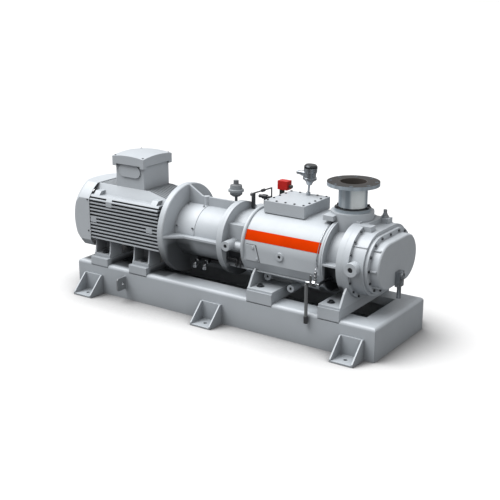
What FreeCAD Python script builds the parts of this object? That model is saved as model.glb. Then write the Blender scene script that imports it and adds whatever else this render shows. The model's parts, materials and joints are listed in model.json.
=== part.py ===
"""Dry screw vacuum pump with its electric motor on one welded base frame, in millimetres.

X runs along the drive axis from the motor (-X) to the gear cover (+X), Z is up, and the front,
with the label strip and the drain valve, faces -Y. The origin is the middle of the base frame's
underside. The motor turns the front screw rotor through a coupling inside the lantern, and two
equal timing gears turn the rear screw rotor the other way.
"""
import FreeCAD
import Part
import Sketcher

import math
import os

from FreeCAD import Vector

document = FreeCAD.newDocument("screw_vacuum_pump")
sheet = document.addObject("Spreadsheet::Sheet", "Sizes")


class Term:
    """A size that keeps its number and the sheet formula that it comes from."""

    def __init__(self, number, formula):
        self.number = float(number)
        self.formula = formula

    def __add__(self, other):
        other = term(other)
        return Term(self.number + other.number, f"({self.formula} + {other.formula})")

    def __sub__(self, other):
        other = term(other)
        return Term(self.number - other.number, f"({self.formula} - {other.formula})")

    def __mul__(self, other):
        other = term(other)
        return Term(self.number * other.number, f"({self.formula} * {other.formula})")

    def __truediv__(self, other):
        other = term(other)
        return Term(self.number / other.number, f"({self.formula} / {other.formula})")

    def __neg__(self):
        return Term(-self.number, f"(0 - {self.formula})")

    def __radd__(self, other):
        return term(other) + self

    def __rsub__(self, other):
        return term(other) - self

    def __rmul__(self, other):
        return term(other) * self


def term(value):
    """Makes a plain number into a term."""
    if isinstance(value, Term):
        return value
    return Term(value, f"({float(value)!r})")


def size(name, number):
    """Puts a driving dimension on the sheet as a plain number with an alias."""
    cell = f"B{size.row}"
    sheet.set(f"A{size.row}", name.replace("_", " "))
    sheet.set(cell, str(number))
    sheet.setAlias(cell, name)
    size.row += 1
    return Term(number, f"Sizes.{name}")


size.row = 1

# Base frame
frame_length = size("frame_length", 2480)
frame_width = size("frame_width", 690)
frame_height = size("frame_height", 225)
side_rail_width = size("side_rail_width", 145)
end_rail_width = size("end_rail_width", 138)
rail_wall = size("rail_wall", 10)
rail_bend = size("rail_bend", 24)
rail_lip = size("rail_lip", 60)
foot_width = size("foot_width", 164)
foot_height = size("foot_height", 139)
foot_reach = size("foot_reach", 142)
foot_plate = size("foot_plate", 12)
cheek_toe = size("cheek_toe", 19.2)
cheek_top = size("cheek_top", 21.6)
foot_cheek = size("foot_cheek", 10)
foot_inset = size("foot_inset", 75)
foot_hole = size("foot_hole", 27)
lug_place = size("lug_place", 786)
lug_height = size("lug_height", 93)
lug_thickness = size("lug_thickness", 12)
lug_low = size("lug_low", 82)
lug_reach = size("lug_reach", 90)
lug_corner = size("lug_corner", 10)
lug_hole = size("lug_hole", 12)
lug_hole_place = size("lug_hole_place", 34)

# Cross beams that carry the motor and the pump
motor_beam_height = size("motor_beam_height", 43)
motor_beam_width = size("motor_beam_width", 162)
pump_beam_height = size("pump_beam_height", 62)
motor_bolt_length = size("motor_bolt_length", 368)
motor_bolt_width = size("motor_bolt_width", 406)
motor_bolt_place = size("motor_bolt_place", -1030)
discharge_foot_place = size("discharge_foot_place", 347)
suction_foot_place = size("suction_foot_place", 885)
discharge_foot_start = size("discharge_foot_start", 284)
discharge_foot_length = size("discharge_foot_length", 197)
suction_foot_start = size("suction_foot_start", 829)
suction_foot_length = size("suction_foot_length", 156)

# Axes
shaft_height = size("shaft_height", 273)
drive_offset = size("drive_offset", 70)
rotor_distance = size("rotor_distance", 232)

# Motor
motor_flange_face = size("motor_flange_face", -432)
motor_length = size("motor_length", 710)
frame_core = size("frame_core", 205)
frame_bore = size("frame_bore", 170)
fin_envelope = size("fin_envelope", 254)
fin_thickness = size("fin_thickness", 11)
fin_pitch = size("fin_pitch", 26)
top_fin_pitch = size("top_fin_pitch", 24)
top_groove = size("top_groove", 15)
top_groove_depth = size("top_groove_depth", 40)
frame_corner = size("frame_corner", 298)
motor_shelf = size("motor_shelf", 187)
shelf_sheet = size("shelf_sheet", 14)
shoulder_half = size("shoulder_half", 185)
slant_start = size("slant_start", -650)
slant_height = size("slant_height", 212)
fin_lug = size("fin_lug", 54)
shelf_lug_reach = size("shelf_lug_reach", 235)
shelf_lug_height = size("shelf_lug_height", 28)
side_fin_rows = 12
fin_lugs = ((-960, 180, 62), (-588, 30, 45), (-1115, 30, 45))
top_grooves = 11
shield_thickness = size("shield_thickness", 46)
shield_flange = size("shield_flange", 21)
motor_flange_radius = size("motor_flange_radius", 275)
cowl_length = size("cowl_length", 158)
cowl_overlap = size("cowl_overlap", 22)
cowl_wall = size("cowl_wall", 3)
cowl_bend_start = size("cowl_bend_start", 60)
cowl_bend_place = size("cowl_bend_place", 24)
cowl_bend_drop = size("cowl_bend_drop", 20)
cowl_rim_place = size("cowl_rim_place", 6)
cowl_rim_drop = size("cowl_rim_drop", 44)
cowl_back_drop = size("cowl_back_drop", 64)
foot_pad_thickness = size("foot_pad_thickness", 22)
motor_foot_length = size("motor_foot_length", 150)
motor_foot_inner = size("motor_foot_inner", 112.75)
motor_foot_drop = size("motor_foot_drop", 123)
box_place = size("box_place", -820)
box_length = size("box_length", 259)
box_width = size("box_width", 276)
lid_length = size("lid_length", 290)
lid_width = size("lid_width", 318)
lid_height = size("lid_height", 79)
lid_top = size("lid_top", 504)
lid_arch = size("lid_arch", 890)
box_wall = size("box_wall", 8)
shaft_radius = size("shaft_radius", 32)
shaft_reach = size("shaft_reach", 140)
stator_bore = size("stator_bore", 110)
air_gap = size("air_gap", 1)
stack_length = size("stack_length", 300)
fan_radius = size("fan_radius", 192)

# Lantern and coupling
disc_radius = size("disc_radius", 320)
disc_thickness = size("disc_thickness", 46)
tube_radius = size("tube_radius", 185)
tube_wall = size("tube_wall", 14)
joint_face = size("joint_face", 46)
joint_flange_radius = size("joint_flange_radius", 254)
joint_flange = size("joint_flange", 22)
lantern_rib = size("lantern_rib", 16)
hub_radius = size("hub_radius", 92)
hub_length = size("hub_length", 118)
spider_thickness = size("spider_thickness", 30)
spider_bore = size("spider_bore", 41.4)
spider_inset = size("spider_inset", 4)

# Pump housings
housing_radius = size("housing_radius", 240)
body_radius = size("body_radius", 226)
housing_spread = size("housing_spread", 190)
screw_start = size("screw_start", 197)
screw_end = size("screw_end", 808)
ring_thickness = size("ring_thickness", 43)
first_ring = size("first_ring", 21)
ring_round = size("ring_round", 12)
suction_face = size("suction_face", 962)
gear_body_radius = size("gear_body_radius", 208)
gear_spread = size("gear_spread", 212)
cover_face = size("cover_face", 1098)
cover_flange = size("cover_flange", 24)
cover_flange_radius = size("cover_flange_radius", 186)
cover_radius = size("cover_radius", 154)
cover_end = size("cover_end", 1184)
cover_wall = size("cover_wall", 12)
belly_height = size("belly_height", 76)

# Screw rotors, shafts, bearings and gears
screw_radius = size("screw_radius", 142)
screw_root = size("screw_root", 88.5)
thread_sink = size("thread_sink", 3)
thread_spare = size("thread_spare", 5)
screw_pitch = size("screw_pitch", 168)
screw_thread = size("screw_thread", 76)
rotor_start = size("rotor_start", 215)
rotor_end = size("rotor_end", 884)
rotor_clearance = size("rotor_clearance", 0.5)
rotor_shaft = size("rotor_shaft", 40)
fit_clearance = size("fit_clearance", 0.05)
bearing_radius = size("bearing_radius", 78)
bearing_width = size("bearing_width", 44)
gear_teeth = 29
gear_width = size("gear_width", 56)
tooth_height = size("tooth_height", 15)
tip_share = size("tip_share", 0.42)
root_half = 0.31
tip_half = 0.13

# Bolts, feet and fits shared by several sub-parts
bolt_radius = size("bolt_radius", 10)
bolt_depth = size("bolt_depth", 50)
bolt_head = size("bolt_head", 17.5)
bolt_head_height = size("bolt_head_height", 13)
bolt_washer = size("bolt_washer", 20)
bolt_washer_sheet = size("bolt_washer_sheet", 3)
spot_face = size("spot_face", 24)
running_gap = size("running_gap", 0.3)
seat_clearance = size("seat_clearance", 0.1)
foot_edge = size("foot_edge", 38)
foot_web = size("foot_web", 12)
frame_floor = size("frame_floor", 202)
box_seat = size("box_seat", 250)
spigot = size("spigot", 24)
shaft_seat = size("shaft_seat", 37)
shaft_body = size("shaft_body", 44)
motor_bearing_radius = size("motor_bearing_radius", 72)
winding = size("winding", 70)
cowl_seat = size("cowl_seat", 12)
cowl_slots = 13
cowl_slot_pitch = size("cowl_slot_pitch", 26)
cowl_grille_radius = size("cowl_grille_radius", 190)
fan_place = size("fan_place", 86)
fan_shaft = size("fan_shaft", 28)
fan_width = size("fan_width", 56)
fan_disc = size("fan_disc", 4)
fan_hub = size("fan_hub", 44.8)
fan_blade_width = size("fan_blade_width", 44.8)
fan_blade_start = size("fan_blade_start", 42)
fan_blade_sheet = size("fan_blade_sheet", 4)
fan_shaft_tip = size("fan_shaft_tip", 6)
fan_blades = 9
lid_lug = size("lid_lug", 34)
lid_lug_drop = size("lid_lug_drop", 16)
entry_length = size("entry_length", 200)
entry_height = size("entry_height", 88)
entry_drop = size("entry_drop", 48)
entry_thickness = size("entry_thickness", 9)

# Lantern and coupling details
disc_bevel = size("disc_bevel", 6)
rib_kink = size("rib_kink", 160)
top_rib_reach = size("top_rib_reach", 247)
side_rib_reach = size("side_rib_reach", 228)
eye_place = size("eye_place", 195)
eye_height = size("eye_height", 3)
eye_radius = size("eye_radius", 20)
window_edge = size("window_edge", 34)
window_start = size("window_start", -362)
window_length = size("window_length", 130)
guard_margin = size("guard_margin", 16)
guard_sheet = size("guard_sheet", 3)
guard_rib_gap = size("guard_rib_gap", 1)
guard_screw = size("guard_screw", 7)
guard_screw_edge = size("guard_screw_edge", 14)
guard_screw_turns = (-72, -14, 14, 72)
motor_flange_bolts = 8
flange_bolt_circle = size("flange_bolt_circle", 257)
hub_gap = size("hub_gap", 12)
hub_neck = size("hub_neck", 66)

# Discharge housing details
discharge_radius = size("discharge_radius", 190)
shelf_inset = size("shelf_inset", 4)
shelf_height = size("shelf_height", 140)
arm_radius = size("arm_radius", 30)
boss_shift = size("boss_shift", 42)
boss_depth = size("boss_depth", 60)
boss_rise = size("boss_rise", 12)
boss_radius = size("boss_radius", 34)
boss_reach = size("boss_reach", 51)
boss_bore = size("boss_bore", 12.92)
gear_boss_radius = size("gear_boss_radius", 45)
gear_boss_reach = size("gear_boss_reach", 26)
gear_boss_shift = size("gear_boss_shift", 30)
gear_boss_bore = size("gear_boss_bore", 17.1)
block_half = size("block_half", 284)
lip_half = size("lip_half", 292)
lip_sheet = size("lip_sheet", 8)
lip_start = size("lip_start", 14)
outlet_radius = size("outlet_radius", 62)
outlet_wall = size("outlet_wall", 12)
outlet_reach = size("outlet_reach", 10)
outlet_seat = size("outlet_seat", 106)
outlet_drop = size("outlet_drop", 30)
bearing_start = size("bearing_start", 120)

# Screw housing details
end_ring_thickness = size("end_ring_thickness", 12)
belly_slope = size("belly_slope", 36)
belly_drop = size("belly_drop", 144)
lower_cover_start = size("lower_cover_start", 318)
lower_cover_length = size("lower_cover_length", 380)
lower_cover_width = size("lower_cover_width", 300)
plug_place = size("plug_place", 498)
plug_radius = size("plug_radius", 28)
plug_reach = size("plug_reach", 8)
plug_root = size("plug_root", 20)
plug_drop = size("plug_drop", 9)
plug_hole = size("plug_hole", 11)
low_port_hole = size("low_port_hole", 10)
low_port_first = size("low_port_first", 360)
low_port_second = size("low_port_second", 541)
low_port_height = size("low_port_height", 354)
low_port_step = size("low_port_step", 50)
low_port_radius = size("low_port_radius", 26)
low_port_reach = size("low_port_reach", 254)
jacket_start = size("jacket_start", 272)
jacket_length = size("jacket_length", 312)
jacket_width = size("jacket_width", 330)
jacket_seat = size("jacket_seat", 222)
jacket_height = size("jacket_height", 82)
jacket_edge = size("jacket_edge", 18)
jacket_bolt = size("jacket_bolt", 8)
jacket_bolt_height = size("jacket_bolt_height", 5.6)
jacket_bolts_long = 5
jacket_bolts_wide = 5
side_cover_start = size("side_cover_start", 239)
side_cover_length = size("side_cover_length", 102)
side_cover_low = size("side_cover_low", -72)
side_cover_top = size("side_cover_top", 36)
side_cover_sheet = size("side_cover_sheet", 5)
side_cover_taper = size("side_cover_taper", 32)
side_cover_screw = size("side_cover_screw", 9)
label_start = size("label_start", 219)
label_length = size("label_length", 567)
label_angle = size("label_angle", 25)
label_span = size("label_span", 18)
label_sheet = size("label_sheet", 1)

# Suction housing and inlet details
neck_radius = size("neck_radius", 178)
neck_rib = size("neck_rib", 14)
suction_wall = size("suction_wall", 56)
inlet_x = size("inlet_x", 846)
inlet_pad = size("inlet_pad", 280)
inlet_pad_height = size("inlet_pad_height", 290)
pad_bridge = size("pad_bridge", 220)
pad_step = size("pad_step", 40)
pad_lug_start = size("pad_lug_start", 724)
pad_lug_length = size("pad_lug_length", 76)
pad_lug_front = size("pad_lug_front", -122)
pad_lug_width = size("pad_lug_width", 80)
pad_lug_height = size("pad_lug_height", 34)
inlet_bore = size("inlet_bore", 86)
inlet_throat = size("inlet_throat", 82)
inlet_tube = size("inlet_tube", 93)
inlet_foot_radius = size("inlet_foot_radius", 118)
inlet_foot = size("inlet_foot", 20)
inlet_flange = size("inlet_flange", 24)
inlet_flange_radius = size("inlet_flange_radius", 170)
inlet_bolt_circle = size("inlet_bolt_circle", 147.5)
inlet_bolt_hole = size("inlet_bolt_hole", 11)
inlet_top = size("inlet_top", 1019)

# Gear housing and cover details
gear_wall = size("gear_wall", 46)
gear_cavity = size("gear_cavity", 134)
gear_lug = size("gear_lug", 60)
gear_lug_length = size("gear_lug_length", 76)
gear_rib = size("gear_rib", 6)
gear_rib_angle = size("gear_rib_angle", 42)
ring_bolt = size("ring_bolt", 8)
ring_bolt_circle = size("ring_bolt_circle", 230)
cover_round = size("cover_round", 14)
cover_rib = size("cover_rib", 10)
cover_rib_place = size("cover_rib_place", 118)
cover_rib_inset = size("cover_rib_inset", 46)
cover_rib_reach = size("cover_rib_reach", 8)
cover_bolts_round = 7
ring_bolt_turns = (-68, -46, -24, 24, 46, 68)
cover_bolt = size("cover_bolt", 9)
cover_bolt_height = size("cover_bolt_height", 7.2)
gear_start = size("gear_start", 1012)
shaft_finish = size("shaft_finish", 1150)

# Pump feet
pump_bolt_inset = size("pump_bolt_inset", 74)
pump_foot_plate = size("pump_foot_plate", 14)
pump_foot_width = size("pump_foot_width", 670)
pump_foot_web = size("pump_foot_web", 14)
pump_foot_crown = size("pump_foot_crown", 280)
pump_foot_rise = size("pump_foot_rise", 92)
pump_foot_shoulder = size("pump_foot_shoulder", 225)
pump_foot_top = size("pump_foot_top", 150)

# Vent filter on the lantern
vent_x = size("vent_x", -32)
vent_y = size("vent_y", -10)
vent_low = size("vent_low", 174)
vent_stem_radius = size("vent_stem_radius", 10)
vent_filter_radius = size("vent_filter_radius", 54)
vent_shade = size("vent_shade", 43.2)
vent_cup_foot = size("vent_cup_foot", 25.92)
vent_dome_rim = size("vent_dome_rim", 40.608)
vent_cap_radius = size("vent_cap_radius", 18)
vent_cup = size("vent_cup", 34)
vent_cup_slope = size("vent_cup_slope", 13.6)
vent_lip = size("vent_lip", 3.4)
vent_brim = size("vent_brim", 14)
vent_dome = size("vent_dome", 38)
vent_dome_foot = size("vent_dome_foot", 3.8)
vent_dome_slope = size("vent_dome_slope", 7.6)
vent_knob = size("vent_knob", 26)

# Purge gas line
purge_x = size("purge_x", 92)
purge_y = size("purge_y", 20)
purge_rise = size("purge_rise", 108)
purge_end = size("purge_end", 240)
purge_end_height = size("purge_end_height", 166)
purge_block = size("purge_block", 20)
purge_knob = size("purge_knob", 12)
purge_valve = size("purge_valve", 11)
purge_valve_length = size("purge_valve_length", 28)
purge_valve_share = 0.45
purge_tube = size("purge_tube", 5)
purge_corner = size("purge_corner", 5.5)
purge_union = size("purge_union", 24)
purge_union_width = size("purge_union_width", 34)

# Pressure switch
switch_x = size("switch_x", 212)
switch_y = size("switch_y", 225)
switch_low = size("switch_low", 302)
switch_length = size("switch_length", 78)
switch_width = size("switch_width", 60)
switch_height = size("switch_height", 62)
switch_socket = size("switch_socket", 18)
switch_gland = size("switch_gland", 12)
switch_gland_rise = size("switch_gland_rise", 24.8)
switch_shift = size("switch_shift", 20)

# Temperature transmitter on the jacket cover
sender_x = size("sender_x", 438)
sender_y = size("sender_y", 168)
sender_neck = size("sender_neck", 73)
sender_head = size("sender_head", 47)
sender_throat = size("sender_throat", 16.92)
sender_shoulder = size("sender_shoulder", 25.85)
sender_waist = size("sender_waist", 40.42)
sender_lid = size("sender_lid", 45.12)
sender_crown = size("sender_crown", 37.6)
sender_gland = size("sender_gland", 14)
sender_nut_start = size("sender_nut_start", 32.9)
sender_nut = size("sender_nut", 18.2)
sender_nut_length = size("sender_nut_length", 30.8)
sender_hexagon = size("sender_hexagon", 14)
sender_hexagon_height = size("sender_hexagon_height", 19.6)
sender_rod = size("sender_rod", 7)
sender_cone = size("sender_cone", 38)
sender_slope = size("sender_slope", 15.2)
sender_body = size("sender_body", 50)
sender_rim = size("sender_rim", 12.5)
sender_gland_rise = size("sender_gland_rise", 30)
sender_cap = size("sender_cap", 50)
sender_chamfer = size("sender_chamfer", 10)
sender_tilt = size("sender_tilt", 5)
sender_gland_reach = size("sender_gland_reach", 100)

# Water, oil and drain
water_first = size("water_first", -255)
water_step = size("water_step", 84)
water_height = size("water_height", 346)
water_back = size("water_back", -120)
water_length = size("water_length", 90)
water_radius = size("water_radius", 13)
water_tail = size("water_tail", 11)
water_hose = size("water_hose", 8.8)
water_drop = size("water_drop", 44)
oil_plug_radius = size("oil_plug_radius", 24)
oil_plug_hexagon = size("oil_plug_hexagon", 19.2)
oil_plug_height = size("oil_plug_height", 52)
sight_y = size("sight_y", 40)
sight_z = size("sight_z", 452)
sight_radius = size("sight_radius", 26)
sight_margin = size("sight_margin", 31.2)
sight_depth = size("sight_depth", 6)
sight_block = size("sight_block", 34)
sight_block_width = size("sight_block_width", 62)
sight_block_height = size("sight_block_height", 100)
oil_drain_radius = size("oil_drain_radius", 14)
oil_drain_drop = size("oil_drain_drop", 150)
drain_valve_x = size("drain_valve_x", 802)
drain_feed = size("drain_feed", 36)
drain_pipe_x = size("drain_pipe_x", 756)
drain_y = size("drain_y", -364)
drain_height = size("drain_height", 436)
drain_pipe_radius = size("drain_pipe_radius", 11)
drain_drop = size("drain_drop", 262)
drain_nut = size("drain_nut", 46)
drain_nut_radius = size("drain_nut_radius", 14.3)
valve_radius = size("valve_radius", 19)
valve_length = size("valve_length", 40)
lever_stem = size("lever_stem", 7)
lever_eye = size("lever_eye", 11.9)
lever_gap = size("lever_gap", 4)
lever_sheet = size("lever_sheet", 5)
lever_width = size("lever_width", 16)
lever_length = size("lever_length", 62)

document.recompute()

axis_height = frame_height + motor_beam_height + shaft_height
drive_y = -drive_offset
driven_y = rotor_distance - drive_offset
pump_y = rotor_distance / 2 - drive_offset
frame_front = -frame_width / 2
beam_top = frame_height + motor_beam_height


def bind_place(item, x, y, z):
    """Ties the base point of an object's placement to the sheet."""
    for letter, value in (("x", x), ("y", y), ("z", z)):
        item.setExpression(f"Placement.Base.{letter}", term(value).formula)


def turn_to(item, direction):
    """Turns a primitive that stands along Z so that it points along the named axis."""
    turns = {
        "z": FreeCAD.Rotation(),
        "-z": FreeCAD.Rotation(Vector(1, 0, 0), 180),
        "x": FreeCAD.Rotation(Vector(0, 1, 0), 90),
        "-x": FreeCAD.Rotation(Vector(0, 1, 0), -90),
        "y": FreeCAD.Rotation(Vector(1, 0, 0), -90),
        "-y": FreeCAD.Rotation(Vector(1, 0, 0), 90),
    }
    item.Placement = FreeCAD.Placement(Vector(0, 0, 0), turns[direction])


def box(x, y, z, length, width, height):
    """A box from its low corner."""
    item = document.addObject("Part::Box", "Block")
    item.setExpression("Length", term(length).formula)
    item.setExpression("Width", term(width).formula)
    item.setExpression("Height", term(height).formula)
    bind_place(item, x, y, z)
    return item


def cylinder(direction, x, y, z, radius, length):
    """A cylinder from the middle of its first face, along the named axis."""
    item = document.addObject("Part::Cylinder", "Round")
    turn_to(item, direction)
    item.setExpression("Radius", term(radius).formula)
    item.setExpression("Height", term(length).formula)
    bind_place(item, x, y, z)
    return item


def hexagon(direction, x, y, z, radius, length):
    """A hexagonal prism, such as a bolt head, from the middle of its first face."""
    item = document.addObject("Part::Prism", "Hexagon")
    turn_to(item, direction)
    item.Polygon = 6
    item.setExpression("Circumradius", term(radius).formula)
    item.setExpression("Height", term(length).formula)
    bind_place(item, x, y, z)
    return item


def joined(pieces, label="Joined"):
    """One solid from overlapping or touching pieces."""
    item = document.addObject("Part::MultiFuse", "Joined")
    item.Shapes = pieces
    item.Refine = True
    item.Label = label
    return item


def cut(base, tools, label="Cut"):
    """The base with every tool taken away from it."""
    item = document.addObject("Part::Cut", "Cut")
    item.Base = base
    item.Tool = tools[0] if len(tools) == 1 else joined(tools)
    item.Refine = True
    item.Label = label
    return item


def common(base, tool, label="Common"):
    """What two pieces share."""
    item = document.addObject("Part::Common", "Common")
    item.Base = base
    item.Tool = tool
    item.Refine = True
    item.Label = label
    return item


def together(pieces, label):
    """Separate solids of one sub-part, such as a set of bolts."""
    item = document.addObject("Part::Compound", "Set")
    item.Links = pieces
    item.Label = label
    return item


def origin_feature(body, role):
    """A plane or an axis of a body's own origin."""
    for feature in body.Origin.OriginFeatures:
        if feature.Role == role:
            return feature
    raise ValueError(role)


def new_body(label, x, y, z):
    """An empty body whose place is tied to the sheet."""
    body = document.addObject("PartDesign::Body", "Body")
    body.Label = label
    bind_place(body, x, y, z)
    return body


def new_sketch(body, role):
    """A sketch on one of the body's own origin planes."""
    sketch = body.newObject("Sketcher::SketchObject", "Outline")
    sketch.AttachmentSupport = [(origin_feature(body, role), "")]
    sketch.MapMode = "FlatFace"
    return sketch


def hold(sketch, kind, line, end, value):
    """Ties one coordinate of a point in a sketch to the sheet."""
    value = term(value)
    index = sketch.addConstraint(Sketcher.Constraint(kind, line, end, value.number))
    sketch.setExpression(f"Constraints[{index}]", value.formula)


def draw_polygon(sketch, points):
    """Draws a closed outline of straight lines, each corner tied to the sheet."""
    corners = []
    for across, up in points:
        corners.append(Vector(term(across).number, term(up).number, 0))
    count = len(corners)
    lines = []
    for index in range(count):
        lines.append(Part.LineSegment(corners[index], corners[(index + 1) % count]))
    sketch.addGeometry(lines, False)
    for index in range(count):
        sketch.addConstraint(Sketcher.Constraint("Coincident", index, 2, (index + 1) % count, 1))
    for index, (across, up) in enumerate(points):
        hold(sketch, "DistanceX", index, 1, across)
        hold(sketch, "DistanceY", index, 1, up)


def draw_racetrack(sketch, half_spread, radius):
    """Draws two half circles joined by tangent lines, centred on the sketch's origin."""
    spread = term(half_spread).number
    bow = term(radius).number
    left = Part.Circle(Vector(-spread, 0, 0), Vector(0, 0, 1), bow)
    right = Part.Circle(Vector(spread, 0, 0), Vector(0, 0, 1), bow)
    sketch.addGeometry([
        Part.ArcOfCircle(right, -math.pi / 2, math.pi / 2),
        Part.LineSegment(Vector(spread, bow, 0), Vector(-spread, bow, 0)),
        Part.ArcOfCircle(left, math.pi / 2, 3 * math.pi / 2),
        Part.LineSegment(Vector(-spread, -bow, 0), Vector(spread, -bow, 0)),
    ], False)
    for first, second in ((0, 1), (1, 2), (2, 3), (3, 0)):
        sketch.addConstraint(Sketcher.Constraint("Tangent", first, 2, second, 1))
    hold(sketch, "DistanceX", 0, 3, half_spread)
    hold(sketch, "DistanceY", 0, 3, 0)
    hold(sketch, "DistanceX", 2, 3, -term(half_spread))
    hold(sketch, "DistanceY", 2, 3, 0)
    index = sketch.addConstraint(Sketcher.Constraint("Radius", 0, bow))
    sketch.setExpression(f"Constraints[{index}]", term(radius).formula)


def add_pad(body, sketch, length):
    """Extends a sketch to a solid."""
    pad = body.newObject("PartDesign::Pad", "Pad")
    pad.Profile = sketch
    pad.setExpression("Length", term(length).formula)
    return pad


def plate(role, x, y, z, points, thickness, label="Plate"):
    """A plate of straight edges. On XZ_Plane it grows towards -Y, else along the normal."""
    body = new_body(label, x, y, z)
    sketch = new_sketch(body, role)
    draw_polygon(sketch, points)
    add_pad(body, sketch, thickness)
    return body


def racetrack(x, y, z, half_spread, radius, length, label="Racetrack"):
    """A body of racetrack section along X, centred on Y and Z."""
    body = new_body(label, x, y, z)
    sketch = new_sketch(body, "YZ_Plane")
    draw_racetrack(sketch, half_spread, radius)
    add_pad(body, sketch, length)
    return body


def turned(x, y, z, points, label="Turned", axis="X_Axis"):
    """A body of revolution: points give the place along the axis and the radius."""
    body = new_body(label, x, y, z)
    sketch = new_sketch(body, "XZ_Plane")
    if axis == "Z_Axis":
        points = [(radius, along) for along, radius in points]
    draw_polygon(sketch, points)
    revolution = body.newObject("PartDesign::Revolution", "Revolution")
    revolution.Profile = sketch
    revolution.ReferenceAxis = (origin_feature(body, axis), [""])
    revolution.Angle = 360
    return body


def round_edges(body, radius, chosen):
    """Rounds the edges of a body's last feature for which chosen(edge) is true."""
    document.recompute()
    base = body.Tip
    names = []
    for number, edge in enumerate(base.Shape.Edges, start=1):
        if chosen(edge):
            names.append(f"Edge{number}")
    fillet = body.newObject("PartDesign::Fillet", "Fillet")
    fillet.Base = (base, names)
    fillet.setExpression("Radius", term(radius).formula)
    return fillet


def along(edge, axis):
    """True for a straight edge that lies along the named axis."""
    if edge.Curve.TypeId != "Part::GeomLine":
        return False
    return abs(abs(getattr(edge.Curve.Direction, axis)) - 1) < 1e-6


parts = []
pump_bolts = []


def keep(item, label):
    """Names a finished sub-part and puts it on the list of those that are written."""
    item.Label = label
    parts.append(item)
    return item


def make_rail(length, width, other_width):
    """A folded channel rail, open inwards, with mitred ends; it runs along its own X."""
    half = length / 2
    body = new_body("Channel", 0, 0, 0)
    sketch = new_sketch(body, "YZ_Plane")
    inner = width - rail_wall
    draw_polygon(sketch, [
        (0, 0), (rail_lip, 0), (rail_lip, rail_wall), (rail_wall, rail_wall),
        (rail_wall, frame_height - rail_wall), (inner, frame_height - rail_wall),
        (inner, frame_height - rail_lip), (width, frame_height - rail_lip),
        (width, frame_height), (0, frame_height),
    ])
    pad = add_pad(body, sketch, length)
    pad.Midplane = True
    top = frame_height.number
    bend = rail_bend
    round_edges(body, bend, lambda edge: along(edge, "x") and abs(edge.CenterOfMass.z - top) < 0.1
                and abs(edge.CenterOfMass.y) < 0.1)
    mitres = []
    for side in (-1, 1):
        mitres.append(plate("XY_Plane", 0, 0, -10, [
            (half * side, 0), ((half - other_width) * side, width),
            ((half - other_width * 1.5) * side, width * 1.5), ((half + width) * side, width * 1.5),
            ((half + width) * side, 0),
        ], frame_height + 20))
    return cut(body, mitres)


def place_rail(rail, x, y, angle):
    """Sets a rail's outer face at x, y, turned about Z."""
    rail.Placement = FreeCAD.Placement(Vector(0, 0, 0), FreeCAD.Rotation(Vector(0, 0, 1), angle))
    bind_place(rail, x, y, 0)


def make_base_frame():
    """Four mitred channel rails, welded into a ring that stays open in the middle."""
    rails = (
        ("front_rail", frame_length, side_rail_width, end_rail_width, 0, frame_front, 0),
        ("rear_rail", frame_length, side_rail_width, end_rail_width, 0, -frame_front, 180),
        ("motor_end_rail", frame_width, end_rail_width, side_rail_width, -frame_length / 2, 0, -90),
        ("pump_end_rail", frame_width, end_rail_width, side_rail_width, frame_length / 2, 0, 90),
    )
    for label, length, width, other_width, x, y, angle in rails:
        rail = make_rail(length, width, other_width)
        if label == "front_rail":
            rail = joined([rail, make_lifting_lug()])
        place_rail(rail, x, y, angle)
        keep(rail, label)


def make_lifting_lug():
    """A welded plate with a hole that stands out from the front rail, near the motor."""
    outline = plate("YZ_Plane", -lug_place, 0, lug_low, [
        (1, 0), (-lug_reach + lug_corner, 0), (-lug_reach, lug_corner),
        (-lug_reach, lug_height - lug_corner), (-lug_reach + lug_corner, lug_height), (1, lug_height),
    ], lug_thickness)
    hole = cylinder("x", -lug_place - 1, -lug_hole_place, lug_low + lug_height / 2, lug_hole,
                    lug_thickness + 2)
    return cut(outline, [hole])


def make_feet():
    """Three bracket feet on each long side: base plate, back plate and two sloping cheeks."""
    half = frame_length / 2 - foot_inset - foot_width / 2
    places = (("motor", -half), ("middle", term(0)), ("pump", half))
    for side, sign, angle in (("front", 1, 0), ("rear", -1, 180)):
        for name, x in places:
            base = box(-foot_width / 2, -foot_reach, 0, foot_width, foot_reach, foot_plate)
            back = box(-foot_width / 2, -foot_plate, 0, foot_width, foot_plate, foot_height)
            pieces = [base, back]
            for start in (-foot_width / 2, foot_width / 2 - foot_cheek):
                pieces.append(plate("YZ_Plane", start, 0, 0, [
                    (0, 0), (-foot_reach, 0), (-foot_reach, cheek_toe),
                    (-cheek_top, foot_height), (0, foot_height),
                ], foot_cheek))
            hole = cylinder("z", 0, -foot_reach * 0.55, -1, foot_hole / 2, foot_plate + 2)
            foot = cut(joined(pieces), [hole])
            foot.Placement = FreeCAD.Placement(Vector(0, 0, 0), FreeCAD.Rotation(Vector(0, 0, 1), angle))
            bind_place(foot, x, frame_front * sign, 0)
            keep(foot, f"{side}_foot_{name}")


def motor_bolt_places():
    """The four places of the motor's foot bolts."""
    for x in (motor_bolt_place, motor_bolt_place + motor_bolt_length):
        for side in (-1, 1):
            yield x, drive_y + motor_bolt_width * (side / 2)


def pump_bolt_places():
    """The four places of the pump's foot bolts."""
    for x in (discharge_foot_place, suction_foot_place):
        for side in (-1, 1):
            yield x, (frame_width / 2 - pump_bolt_inset) * side


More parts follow.
